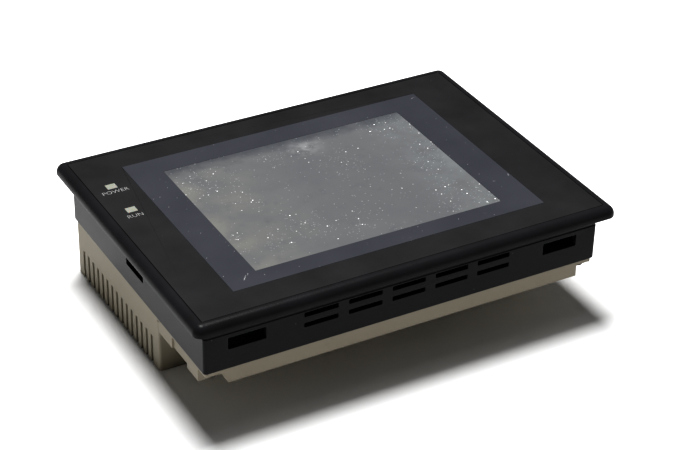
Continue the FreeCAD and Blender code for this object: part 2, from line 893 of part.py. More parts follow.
def reset_switch():
    half = key_w / 2
    return block(reset_x - half, reset_x + half, switch_y - key_t, switch_y, port_z - half, port_z + half)


def switch_board():
    x0 = reset_x - switch_board_left
    x1 = dip_x + dip_w() / 2 + switch_board_right
    return block(x0, x1, switch_y, switch_y + board_t, port_z - switch_board_down, lower_z - sheet_gap)


# ---- Power terminals in their bay
def terminal_w():
    return pole_n * pole_pitch + barrier_t


def terminal_back_y():
    return wall_y + terminal_d


def terminal_floor_z():
    return terminal_sink + terminal_h


def pole_xs():
    return [terminal_x + (i - (pole_n - 1) / 2) * pole_pitch for i in range(pole_n)]


def pole_y():
    return wall_y + terminal_d / 2 - terminal_gap_y


def contact_z():
    """Face of the metal plate that the washers press on."""
    return terminal_floor_z() - terminal_base


def terminal_block():
    x0 = terminal_x - terminal_w() / 2
    body = block(x0, x0 + terminal_w(), wall_y + terminal_gap_y, terminal_back_y(),
                 terminal_sink, terminal_floor_z())
    cuts = []
    for x in pole_xs():
        half = (pole_pitch - barrier_t) / 2
        cuts.append(block(x - half, x + half, wall_y, terminal_back_y() - terminal_back_t,
                          terminal_sink, contact_z()))
        bore_l = pole_thread_l + thread_end_gap
        cuts.append(rod(pole_screw_r + pole_gap, bore_l, (x, pole_y(), contact_z())))
    return body.cut(cuts)


def terminal_washer(x):
    z1 = contact_z() - pole_rest_gap
    body = plate(washer_w, washer_w, z1 - washer_t, z1, x, pole_y())
    return body.cut(rod(pole_screw_r + pole_gap, washer_t, (x, pole_y(), z1 - washer_t)))


def terminal_screw(x):
    seat = contact_z() - washer_t - 2 * pole_rest_gap
    low = seat - pole_head_t
    head = rod(pole_head_r, pole_head_t, (x, pole_y(), low))
    thread = rod(pole_screw_r, pole_thread_l, (x, pole_y(), seat))
    cross = [plate(pole_cross_l, pole_cross_w, low, low + pole_cross_d, x, pole_y()),
             plate(pole_cross_w, pole_cross_l, low, low + pole_cross_d, x, pole_y())]
    return head.fuse(thread).cut(cross)


# ---- Rear case
def case_blank():
    """Outside of the rear case: rim, shallow lower part, deep upper part and side ribs."""
    rim = round_uprights(plate(case_w, case_h, skirt_z - case_rim, skirt_z), corner_r)
    half_w = case_w / 2
    half_h = case_h / 2
    deep = block(-half_w, half_w, wall_y, half_h, 0, skirt_z)
    deep = round_uprights(deep, corner_r)
    low = block(-half_w + shallow_inset, half_w - shallow_inset, -half_h, wall_y + case_wall,
                shallow_z, skirt_z)
    shapes = [deep, low]
    for side in (-1, 1):
        x = side * (half_w - rib_w / 2)
        shapes.append(plate(rib_w, rib_a, shallow_z, skirt_z, x, wall_y - rib_a / 2))
        shapes.append(plate(rib_w, rib_b_len, shallow_z - rib_b_drop, skirt_z, x,
                            wall_y - rib_b_far - rib_b_len / 2))
    body = rim.fuse(shapes)
    return body.cut([lower_notch(-1), lower_notch(1)])


def lower_notch(side):
    """Corner cut away below the rim around a lower screw."""
    x1 = side * case_w / 2
    x0 = x1 - side * notch_w
    slope = notch_slope if side < 0 else 0.0
    y0 = -case_h / 2 - 1
    top = skirt_z - case_rim
    low = shallow_z - rib_b_drop - 1
    outline = [Vector(x0, y0, top), Vector(x1 + side, y0, top), Vector(x1 + side, y0, low),
               Vector(x0 + slope, y0, low)]
    face = Part.Face(Part.makePolygon(outline + outline[:1]))
    return face.extrude(Vector(0, notch_h + 1, 0))


def case_hollow():
    """Inside of the rear case, which follows the outside one wall in."""
    half_w = case_w / 2 - case_wall
    half_h = case_h / 2 - case_wall
    deep = block(-half_w, half_w, wall_in_y, half_h, case_wall, skirt_z + case_lip)
    side = half_w - shallow_inset
    low = block(-side, side, -half_h, wall_in_y, shallow_z + case_wall, skirt_z + case_lip)
    keep = []
    for s in (-1, 1):
        w = notch_w + case_wall
        h = notch_h + case_wall
        keep.append(plate(2 * w, 2 * h, 0, skirt_z - case_rim + case_wall, s * case_w / 2, -case_h / 2))
        keep.append(plate(2 * (notch_w + notch_wall), 2 * (notch_h + notch_wall), 0, skirt_z + case_lip,
                          s * case_w / 2, -case_h / 2))
    return deep.fuse(low.cut(keep))


def case_lip_ring():
    outer_x = inner_x - lip_gap
    outer_y = inner_y - lip_gap
    ring = plate(2 * outer_x, 2 * outer_y, skirt_z, skirt_z + case_lip)
    return ring.cut(plate(2 * (outer_x - case_lip_t), 2 * (outer_y - case_lip_t),
                          skirt_z, skirt_z + case_lip))


def upper_wells():
    """Tubes down to the seats of the two upper screws, and their bores."""
    seat = skirt_z - case_rim
    spots = [(-rear_screw_x, rear_screw_y), (rear_screw_x, rear_screw_y)]
    well_r = screw_head_r + well_gap
    tubes = [rod(well_r + well_wall, seat + case_wall, (x, y, 0)) for x, y in spots]
    bores = [rod(well_r, seat, (x, y, 0)) for x, y in spots]
    return tubes, bores


def side_vents():
    cutters = []
    half_w = case_w / 2
    for side in (-1, 1):
        x = side * (half_w - side_vent_wrap / 2 + 1)
        for i in range(side_vent_n):
            y = bezel_h / 2 - side_vent_edge - i * side_vent_pitch
            cutters.append(plate(side_vent_wrap + 2, side_vent_w, -1, case_wall, x, y))
            wall_x = side * (half_w - case_wall / 2)
            cutters.append(plate(case_wall + 2, side_vent_w, -1, side_vent_top, wall_x, y))
    return cutters


def wall_cutouts():
    """Holes in the connector wall for ports, switches and the reset button."""
    y0 = wall_y - 1
    y1 = wall_in_y + 0.5
    cuts = []
    for x, pitch, shell_w in ((port_9_x, port_9_pitch, port_9_shell),
                              (port_25_x, port_25_pitch, port_25_shell)):
        cuts.append(d_shell(x, shell_w + 2 * port_gap, port_shell_h + 2 * port_gap, y0, wall_in_y))
        for side in (-1, 1):
            at = (x + side * pitch / 2, y0, port_z)
            cuts.append(rod(jack_bore_r + jack_slip, case_wall + 1, at, Vector(0, 1, 0)))
    w = dip_w() + 2 * dip_wall_gap
    h = dip_h + 2 * dip_wall_gap
    cuts.append(block(dip_x - w / 2, dip_x + w / 2, y0, y1, port_z - h / 2, port_z + h / 2))
    cuts.append(rod(reset_r + reset_gap, y1 - y0, (reset_x, y0, port_z), Vector(0, 1, 0)))
    return cuts


def terminal_bay():
    """Walls around the terminal block, and the recess itself."""
    half = terminal_w() / 2 + terminal_gap
    back = terminal_back_y() + terminal_gap
    top = terminal_floor_z()
    walls = block(terminal_x - half - case_wall, terminal_x + half + case_wall, wall_y,
                  back + case_wall, 0, top + case_wall)
    recess = block(terminal_x - half, terminal_x + half, wall_y - 1, back, -1, top)
    return walls, recess


def battery_bay():
    walls = plate(battery_bay_w + 2 * case_wall, battery_bay_h + 2 * case_wall, 0,
                  battery_bay_d + case_wall, battery_x, battery_y)
    seat = cover_t + cover_gap / 2
    recess = plate(battery_bay_w - 2 * cover_ledge, battery_bay_h - 2 * cover_ledge, -1,
                   battery_bay_d, battery_x, battery_y)
    mouth = plate(battery_bay_w, battery_bay_h, -1, seat, battery_x, battery_y)
    knuckle = block(battery_x - battery_bay_w / 2, battery_x + battery_bay_w / 2,
                    hinge_y() - hinge_r - cover_gap - cover_swing_gap, battery_y + battery_bay_h / 2,
                    -1, hinge_z() + hinge_r + cover_gap)
    sockets = []
    for side in (-1, 1):
        x = battery_x + side * (battery_bay_w / 2 + hinge_pin_l / 2)
        at = (x - hinge_pin_l / 2 - pin_end_gap / 2, hinge_y(), hinge_z())
        sockets.append(rod(hinge_pin_r() + pin_slip, hinge_pin_l + pin_end_gap, at, Vector(1, 0, 0)))
    return walls, [recess, mouth, knuckle] + sockets


def hinge_pin_r():
    return hinge_r * hinge_pin_share


def hinge_y():
    return battery_y + battery_bay_h / 2 - hinge_r - cover_gap


def hinge_z():
    return hinge_r + cover_gap


def battery_cover():
    """Flush lid with hinge barrel, two stub pins and a spring catch."""
    w = battery_bay_w - 2 * cover_gap
    y0 = battery_y - battery_bay_h / 2 + cover_gap
    lid = block(battery_x - w / 2, battery_x + w / 2, y0, hinge_y(), 0, cover_t)
    barrel = rod(hinge_r, w, (battery_x - w / 2, hinge_y(), hinge_z()), Vector(1, 0, 0))
    bridge = block(battery_x - w / 2, battery_x + w / 2, hinge_y() - hinge_r, hinge_y(), 0, hinge_z())
    pins = []
    for side in (-1, 1):
        x0 = battery_x + side * (w / 2) - (hinge_pin_l if side < 0 else 0)
        pins.append(rod(hinge_pin_r(), hinge_pin_l, (x0, hinge_y(), hinge_z()), Vector(1, 0, 0)))
    catch_y = battery_y - battery_bay_h / 2 + cover_ledge + cover_gap
    catch = block(battery_x - catch_l / 2, battery_x + catch_l / 2, catch_y, catch_y + catch_t,
                  cover_t, cover_t + catch_h)
    grip = block(battery_x - grip_w / 2, battery_x + grip_w / 2, y0, y0 + grip_h, 0, grip_d)
    return lid.fuse([barrel, bridge, catch] + pins).cut(grip)


def battery_axis_y():
    return battery_y + battery_bay_h / 2 - cover_ledge - battery_r - battery_slip


def battery():
    z = battery_bay_d - battery_r - battery_slip
    return rod(battery_r, battery_l, (battery_x - battery_l / 2, battery_axis_y(), z), Vector(1, 0, 0))


def battery_rib():
    """Low wall that keeps the battery to one side of its bay."""
    y1 = battery_axis_y() - battery_r - battery_slip
    return block(battery_x - battery_l / 2, battery_x + battery_l / 2, y1 - battery_rib_t, y1,
                 battery_bay_d - battery_r - 1, battery_bay_d + case_wall / 2)


def expansion_port():
    """Recess in the rear face over the expansion socket."""
    walls = plate(expansion_w + 2 * case_wall, expansion_h + 2 * case_wall, 0,
                  expansion_d + case_wall, expansion_x, expansion_y)
    recess = plate(expansion_w - 2 * cover_ledge, expansion_h - 2 * cover_ledge, -1, expansion_d,
                   expansion_x, expansion_y)
    mouth = plate(expansion_w, expansion_h, -1, cover_t + cover_gap / 2, expansion_x, expansion_y)
    through = plate(expansion_plug_w + 2 * plug_gap, expansion_plug_h + 2 * plug_gap, expansion_d - 1,
                    expansion_d + case_wall + 1, expansion_x, expansion_y)
    return walls, [recess, mouth, through]


def expansion_cover():
    """Pull-off cap with two snap legs."""
    w = expansion_w - 2 * cover_gap
    h = expansion_h - 2 * cover_gap
    cap = plate(w, h, 0, cover_t, expansion_x, expansion_y)
    legs = []
    leg_x = expansion_w / 2 - cover_ledge - cover_gap - catch_t / 2
    for side in (-1, 1):
        x = expansion_x + side * leg_x
        legs.append(plate(catch_t, catch_w, cover_t, cover_t + catch_h, x, expansion_y))
    return cap.fuse(legs)


def expansion_connector():
    z0 = expansion_d - expansion_plug_out
    body = plate(expansion_plug_w, expansion_plug_h, z0, lower_z, expansion_x, expansion_y)
    holes = []
    for row in (-1, 1):
        y = expansion_y + row * plug_pitch / 2
        for i in range(plug_n):
            x = expansion_x + (i - (plug_n - 1) / 2) * plug_pitch
            holes.append(plate(plug_hole_w, plug_hole_w, z0, z0 + plug_hole_d, x, y))
    return body.cut(holes)


def label_recess():
    return plate(label_w + 2 * label_gap, label_h + 2 * label_gap, -1, label_sink + label_t,
                 label_x, label_y)


def rating_label():
    return plate(label_w, label_h, label_sink, label_sink + label_t, label_x, label_y)


def corner_posts():
    """Posts inside the rim that meet the bezel's corner bosses."""
    seat = skirt_z - case_rim
    posts = [rod(boss_r, case_rim + case_lip, (x, y, seat)) for x, y in corners(rear_screw_x, rear_screw_y)]
    holes = [rod(screw_r + screw_slip, case_rim + case_lip, (x, y, seat))
             for x, y in corners(rear_screw_x, rear_screw_y)]
    return posts, holes


def rear_case():
    tubes, bores = upper_wells()
    posts, post_holes = corner_posts()
    bay_walls, bay_recess = terminal_bay()
    battery_walls, battery_cuts = battery_bay()
    port_walls, port_cuts = expansion_port()
    shell = case_blank().cut(case_hollow())
    limit = case_blank().fuse(plate(2 * inner_x - 2 * lip_gap, 2 * inner_y - 2 * lip_gap,
                                    skirt_z, skirt_z + case_lip))
    inner = tubes + posts + [bay_walls, battery_walls, port_walls]
    shell = shell.fuse([case_lip_ring()] + [piece.common(limit) for piece in inner])
    cuts = bores + post_holes + [bay_recess] + battery_cuts + port_cuts
    shell = shell.cut(cuts + side_vents() + wall_cutouts() + [label_recess()])
    return shell.fuse(battery_rib())


def build():
    top = plate_z - lcd_skin
    save("front_bezel", front_bezel())
    save("panel_gasket", panel_gasket())
    save("overlay_sheet", overlay_sheet())
    save("power_window", indicator_window(lamp_power_y))
    save("run_window", indicator_window(lamp_run_y))
    save("touch_film", touch_film())
    save("touch_glass", touch_glass())
    save("touch_tail", touch_tail())
    save("display_cushion", display_cushion())
    save("light_pipes", light_pipes())
    save("led_board", led_board())
    save("status_leds", status_leds())
    save("lcd_frame", lcd_frame())
    save("lcd_tray", lcd_tray())
    save("lcd_cell", cell_sheet(top, cell_t))
    save("diffuser_sheet", cell_sheet(top - cell_t, diffuser_t))
    save("light_guide", cell_sheet(top - cell_t - diffuser_t, guide_t))
    save("backlight_lamp", backlight_lamp())
    save("lcd_flex", lcd_flex())
    save("display_bracket", display_bracket())
    save("bracket_screws", bracket_screws())
    save("board_spacers", board_spacers())
    save("inverter_board", inverter_board())
    save("inverter_transformer", inverter_transformer())
    save("main_board", main_board())
    save("main_chips", main_chips())
    save("buzzer", buzzer())
    save("stacking_connector", stacking_connector())
    save("interface_board", interface_board())
    save("power_board", power_board())
    save("power_transformer", power_transformer())
    save("power_capacitors", power_capacitors())
    save("serial_port_9", serial_port(port_9_x, 9, port_9_w, port_9_pitch, port_9_shell))
    save("serial_port_25", serial_port(port_25_x, 25, port_25_w, port_25_pitch, port_25_shell))
    save("port_jackscrews", port_jackscrews())
    save("switch_board", switch_board())
    save("reset_switch", reset_switch())
    save("reset_button", reset_button())
    save("dip_switch", dip_switch())
    for number, x in enumerate(dip_slots(), 1):
        save("dip_slider_" + str(number), dip_slider(x))
    save("terminal_block", terminal_block())
    for number, x in enumerate(pole_xs(), 1):
        save("terminal_washer_" + str(number), terminal_washer(x))
        save("terminal_screw_" + str(number), terminal_screw(x))
    save("rear_case", rear_case())
    save("rear_screws", rear_screws())
    save("battery", battery())
    save("battery_cover", battery_cover())
    save("expansion_connector", expansion_connector())
    save("expansion_cover", expansion_cover())
    save("rating_label", rating_label())


build()
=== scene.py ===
import math

import bmesh
import bpy
from bpy.props import FloatProperty, PointerProperty, StringProperty
from mathutils import Matrix, Vector


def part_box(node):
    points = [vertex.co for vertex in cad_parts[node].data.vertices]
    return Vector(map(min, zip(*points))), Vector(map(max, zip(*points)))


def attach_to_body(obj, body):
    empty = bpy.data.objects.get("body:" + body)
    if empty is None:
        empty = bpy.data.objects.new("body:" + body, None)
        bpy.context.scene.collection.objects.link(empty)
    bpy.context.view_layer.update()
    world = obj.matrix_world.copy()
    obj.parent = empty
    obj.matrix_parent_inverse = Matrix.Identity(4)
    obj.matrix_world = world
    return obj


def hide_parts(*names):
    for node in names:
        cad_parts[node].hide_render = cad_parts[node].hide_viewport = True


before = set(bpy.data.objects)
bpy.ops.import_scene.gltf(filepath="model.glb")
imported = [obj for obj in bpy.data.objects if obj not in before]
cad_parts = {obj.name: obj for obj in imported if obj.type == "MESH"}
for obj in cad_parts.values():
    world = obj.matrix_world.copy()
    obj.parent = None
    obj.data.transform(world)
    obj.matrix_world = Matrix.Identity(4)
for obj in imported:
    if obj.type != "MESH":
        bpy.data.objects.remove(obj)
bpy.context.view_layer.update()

bl_info = {
    "name": "Operator touch panel",
    "version": (1, 0, 0),
    "blender": (4, 5, 0),
    "location": "View3D > Sidebar > Touch Panel",
    "description": "Builds the looks of a flush-mounted operator panel around its CAD frame",
    "category": "Object",
}

MM = 0.001
HOUSING = "housing"

# Levels of the front and the rear, in metres in the frame's axes
FACE_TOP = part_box("overlay_sheet")[1][2]
FILM_LOW, FILM_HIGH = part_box("touch_film")
REAR_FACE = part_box("rear_case")[0][2]

# The picture area, the thickness of printed ink, and how far the film's two pieces stand apart
VIEW_W = 115.2 * MM
VIEW_H = 86.4 * MM
VIEW_AT = (-1.2 * MM, -1.0 * MM)
PRINT_T = 0.02 * MM
FILM_GAP = 0.02 * MM

# Printed words: the text, the window it stands under, and how far below and to the right of its middle, in
# millimetres
LEGENDS = (("POWER", "power_window", 4.5, 0.1), ("RUN", "run_window", 5.0, -0.3))
# Height of the built-in font's capitals as a share of its size, and how far the ink stands back from the
# outline of the letters as a share of their height. Then the switch numbers' height and place above the
# bottom of the switch
CAPITAL_SHARE = 0.72
STROKE_THINNED = 0.024
DIGIT_H = 1.2 * MM
DIGIT_RISE = 1.3 * MM

# Radii that no setting changes, the angle past which an edge is rounded, and the one under which faces are
# shaded as one
SHEET_EDGE = 0.05 * MM
LABEL_EDGE = 0.04 * MM
WINDOW_EDGE = 0.06 * MM
PICTURE_EDGE = 0.08 * MM
RIB_EDGE = 0.08 * MM
PORT_EDGE = 0.1 * MM
SWITCH_EDGE = 0.08 * MM
SLIDER_EDGE = 0.1 * MM
BLOCK_EDGE = 0.15 * MM
SOCKET_EDGE = 0.06 * MM
SHARP_ANGLE = 30.0
SMOOTH_ANGLE = 35.0

# Serial ports: node, number of contacts, middle in x and width of the drawn shell, both in millimetres
PORTS = (("serial_port_9", 9, 68.0, 16.9), ("serial_port_25", 25, 21.5, 38.9))
PORT_LEVEL = 10.0 * MM
# Their shells: height, depth behind the insulator's tip, reach past it, gap around it, lean of the sides, and
# radii of the corners and of the rolled tip
SHELL_H = 8.3 * MM
SHELL_DEPTH = 5.7 * MM
SHELL_LIP = 0.15 * MM
SHELL_FIT = 0.02 * MM
SHELL_LEAN = 0.9 * MM
SHELL_CORNER = 1.6 * MM
SHELL_ROLL = 0.1 * MM
# Their contacts: spacing, half the distance between the rows, radius, wall, bore and place behind the tip
CONTACT_PITCH = 2.77 * MM
CONTACT_ROW = 1.42 * MM
CONTACT_R = 0.55 * MM
CONTACT_WALL = 0.17 * MM
CONTACT_BORE = 2.0 * MM
CONTACT_SUNK = 0.35 * MM

# Where dust has gathered on the picture area: x, y and reach in millimetres
DUST_PATCHES = (
    (45, 33, 20), (46, -2, 13), (54, 6, 13), (44, -26, 14), (54, -38, 14), (-24, -24, 14), (-5, -31, 16),
    (-50, 25, 22), (-38, 4, 10), (13, 14, 14), (-12, 30, 11), (-41, -28, 11), (7, -42, 6), (-57, -23, 10),
    (35, -37, 10),
)
# Its specks: cell in millimetres, radius in cells, share of the cells that hold one, away from the patches
# and in them, and colour
DUST_SIZES = (
    (0.8, 0.33, 0.03, 0.20, "#85888a"), (1.7, 0.15, 0.015, 0.10, "#b4b5b4"),
    (3.1, 0.1, 0.01, 0.22, "#e8e8e4"), (4.6, 0.075, 0.02, 0.34, "#ffffff"),
)
# Pale scuffs on the touch border and on the bezel's lower rim: x, y, turn in degrees, length and width
BORDER_SCUFFS = ((-64.7, -46.7, 52, 2.6, 0.35), (-62.6, -45.0, 60, 1.1, 0.25), (69.5, 50.2, 20, 2.2, 0.3))
BEZEL_SCUFFS = ((-4.2, -65.9, 8, 2.4, 0.3), (0.5, -66.4, 14, 1.2, 0.25), (38.0, -66.0, 5, 1.8, 0.25))

# Lamps: name, place, target, width, height and power in watts; and the even light of the surroundings
LAMPS = (
    ("Overhead softbox", (0.0, 0.20, 1.15), (0.0, 0.0, 0.0), 0.48, 0.48, 20.5),
    ("Rim strip", (0.10, -0.02, 1.10), (0.0, -0.07, 0.05), 0.5, 0.05, 1.0),
    ("Left softbox", (-1.25, 0.45, 0.40), (0.0, 0.0, 0.03), 0.6, 0.5, 0.12),
)
WORLD_STRENGTH = 0.08
FLOOR_SIZE = 4.0
FLOOR_DROP = 0.1 * MM

# Camera: place in metres, turn in degrees and lens in millimetres
CAMERA_AT = (-0.35768, -0.63594, 0.49220)
CAMERA_TURN = (57.846, -1.0412, -28.9105)
CAMERA_LENS = 107.287


# ---- Sizes and colours a user would change
class TouchPanelSizes(bpy.types.PropertyGroup):
    """Softened edges and printed details"""

    case_edge: FloatProperty(
        name="Moulded edge", description="Radius worn onto the large mouldings' edges",
        default=0.22 * MM, unit="LENGTH", precision=5)
    small_edge: FloatProperty(
        name="Small edge", description="Radius on the covers, gasket, battery and reset button",
        default=0.12 * MM, unit="LENGTH", precision=5)
    screw_edge: FloatProperty(
        name="Screw edge", description="Radius on screws, washers and board spacers",
        default=0.08 * MM, unit="LENGTH", precision=5)
    legend: FloatProperty(
        name="Legend height", description="Height of the printed capitals by the indicator windows",
        default=2.5 * MM, unit="LENGTH", precision=5)
    shell: FloatProperty(
        name="Connector shell", description="Thickness of the ports' drawn steel shells",
        default=0.3 * MM, unit="LENGTH", precision=5)


class TouchPanelColours(bpy.types.PropertyGroup):
    """Colours of the outside, as sRGB hex"""

    bezel: StringProperty(name="Bezel", description="Moulded polycarbonate of the bezel", default="#1e1e1f")
    overlay: StringProperty(name="Overlay", description="Printed front film", default="#1e1e1f")
    border: StringProperty(name="Border", description="Grey border of the touch area", default="#33343a")
    picture: StringProperty(
        name="Picture area", description="Unlit display behind its film", default="#5c5d5e")
    case: StringProperty(name="Rear case", description="Moulded ABS of the rear case", default="#857e6f")
    window: StringProperty(name="Indicator", description="Unlit indicator windows", default="#82837e")
    legend: StringProperty(name="Legend", description="Ink of the printed words", default="#a8a8a6")


def sizes():
    """The sizes that the sidebar shows."""
    return bpy.context.scene.touch_panel_sizes


def colours():
    """The colours that the sidebar shows."""
    return bpy.context.scene.touch_panel_colours


# ---- Colour and node helpers
def linear(hex_colour):
    """sRGB hex to a linear RGBA tuple."""
    channels = [int(hex_colour[i:i + 2], 16) / 255 for i in (1, 3, 5)]
    return tuple(c / 12.92 if c <= 0.04045 else ((c + 0.055) / 1.055) ** 2.4 for c in channels) + (1.0,)


def add_node(tree, kind, inputs=None, **settings):
    """Add a node, set its properties, then set or link its inputs."""
    node = tree.nodes.new(kind)
    for key, value in settings.items():
        setattr(node, key, value)
    for key, value in (inputs or {}).items():
        if isinstance(value, bpy.types.NodeSocket):
            tree.links.new(value, node.inputs[key])
        else:
            node.inputs[key].default_value = value
    return node


def per_mm(size):
    """Texture scale whose cells are about this many millimetres wide."""
    return 1.0 / (size * MM)


def begin(name, **sockets):
    """A new material: its tree, its shader and the object coordinates."""
    made = bpy.data.materials.new(name)
    made.use_nodes = True
    tree = made.node_tree
    shader = tree.nodes["Principled BSDF"]
    for key, value in sockets.items():
        shader.inputs[key.replace("_", " ")].default_value = value
    coords = add_node(tree, "ShaderNodeTexCoord").outputs["Object"]
    return made, tree, shader, coords


def noise(tree, coords, size, detail=3.0, roughness=0.55, distortion=0.0):
    """Soft noise with features of about this size in millimetres."""
    node = add_node(tree, "ShaderNodeTexNoise",
                    {"Vector": coords, "Scale": per_mm(size), "Detail": detail,
                     "Roughness": roughness, "Distortion": distortion})
    return node.outputs["Fac"]


def ramp(tree, value, stops):
    """Colour ramp through (place, hex or grey) stops."""
    node = add_node(tree, "ShaderNodeValToRGB", {"Fac": value})
    elements = node.color_ramp.elements
    while len(elements) < len(stops):
        elements.new(0.5)
    for element, (place, colour) in zip(elements, stops):
        element.position = place
        element.color = linear(colour) if isinstance(colour, str) else (colour, colour, colour, 1.0)
    return node.outputs["Color"]


def blended(tree, factor, under, over):
    """under where factor is 0, over where it is 1."""
    node = add_node(tree, "ShaderNodeMix", data_type="RGBA")
    for index, value in ((0, factor), (6, under), (7, over)):
        if isinstance(value, bpy.types.NodeSocket):
            tree.links.new(value, node.inputs[index])
        else:
            node.inputs[index].default_value = value
    return node.outputs[2]


def maths(tree, operation, a, b=0.0):
    """One sum, product or comparison."""
    return add_node(tree, "ShaderNodeMath", {0: a, 1: b}, operation=operation).outputs[0]


def product(tree, a, b):
    """One value times another."""
    return maths(tree, "MULTIPLY", a, b)


def spread(tree, value, low, high):
    """A value from 0 to 1 spread from low to high."""
    return add_node(tree, "ShaderNodeMapRange", {"Value": value, "To Min": low, "To Max": high}).outputs[0]


def fading(tree, value, full):
    """1 up to full, fading softly to 0 at the outline where the value is 1."""
    return add_node(tree, "ShaderNodeMapRange", {"Value": value, "From Min": 1.0, "From Max": full},
                    interpolation_type="SMOOTHSTEP").outputs[0]


def bump(tree, shader, height, depth):
    """Bump of this depth in millimetres."""
    node = add_node(tree, "ShaderNodeBump", {"Height": height, "Distance": depth * MM, "Strength": 1.0})
    tree.links.new(node.outputs["Normal"], shader.inputs["Normal"])


def specks(tree, coords, cell, share, radius, level=False):
    """1 on small round specks, one in this share of the cells of a grid this many millimetres wide, and
    a random value for each cell. On a level face the cells are flat."""
    cells = add_node(tree, "ShaderNodeTexVoronoi", {"Vector": coords, "Scale": per_mm(cell)},
                     voronoi_dimensions="2D" if level else "3D")
    near = add_node(tree, "ShaderNodeMapRange",
                    {"Value": cells.outputs["Distance"], "From Min": radius, "From Max": radius * 0.55,
                     "To Min": 0.0, "To Max": 1.0}).outputs[0]
    parts = add_node(tree, "ShaderNodeSeparateColor", {"Color": cells.outputs["Color"]})
    chosen = maths(tree, "LESS_THAN", parts.outputs[0], share)
    return product(tree, near, chosen), parts.outputs[1]


def streak(tree, coords, x, y, turn, length, width):
    """1 along a short scuff on the front, fading to 0 at its outline."""
    place = add_node(tree, "ShaderNodeMapping",
                     {"Vector": coords, "Location": (x * MM, y * MM, FACE_TOP),
                      "Rotation": (0.0, 0.0, math.radians(turn)), "Scale": (length * MM, width * MM, MM)},
                     vector_type="TEXTURE").outputs[0]
    far = add_node(tree, "ShaderNodeVectorMath", {0: place}, operation="LENGTH").outputs["Value"]
    return fading(tree, far, 0.3)


def scuffed(tree, coords, tone, scuffs, hex_colour):
    """tone with broken pale scuffs drawn over it."""
    torn = ramp(tree, noise(tree, coords, 0.6, 3.0), [(0.42, 0.0), (0.58, 0.9)])
    for scuff in scuffs:
        shown = product(tree, streak(tree, coords, *scuff), torn)
        tone = blended(tree, shown, tone, linear(hex_colour))
    return tone


def mottled(name, base, light, grain, depth, dust=None, scuffs=(), **sockets):
    """Moulded or printed surface: cloudy tone and roughness, fine grain in the bump, and some dust."""
    made, tree, shader, coords = begin(name, **sockets)
    cloud = noise(tree, coords, 22.0, 4.0)
    fine = noise(tree, coords, grain, 2.0, 0.5)
    tone = blended(tree, ramp(tree, cloud, [(0.3, 0.0), (0.72, 1.0)]), linear(base), linear(light))
    if dust:
        speck, pick = specks(tree, coords, 2.6, 0.10, 0.055)
        shown = product(tree, speck, maths(tree, "POWER", pick, 2.0))
        tone = blended(tree, shown, tone, linear(dust))
        tone = scuffed(tree, coords, tone, scuffs, dust)
    tree.links.new(tone, shader.inputs["Base Color"])
    rough = sockets.get("Roughness", 0.5)
    tree.links.new(spread(tree, cloud, rough - 0.06, rough + 0.08), shader.inputs["Roughness"])
    bump(tree, shader, fine, depth)
    return made


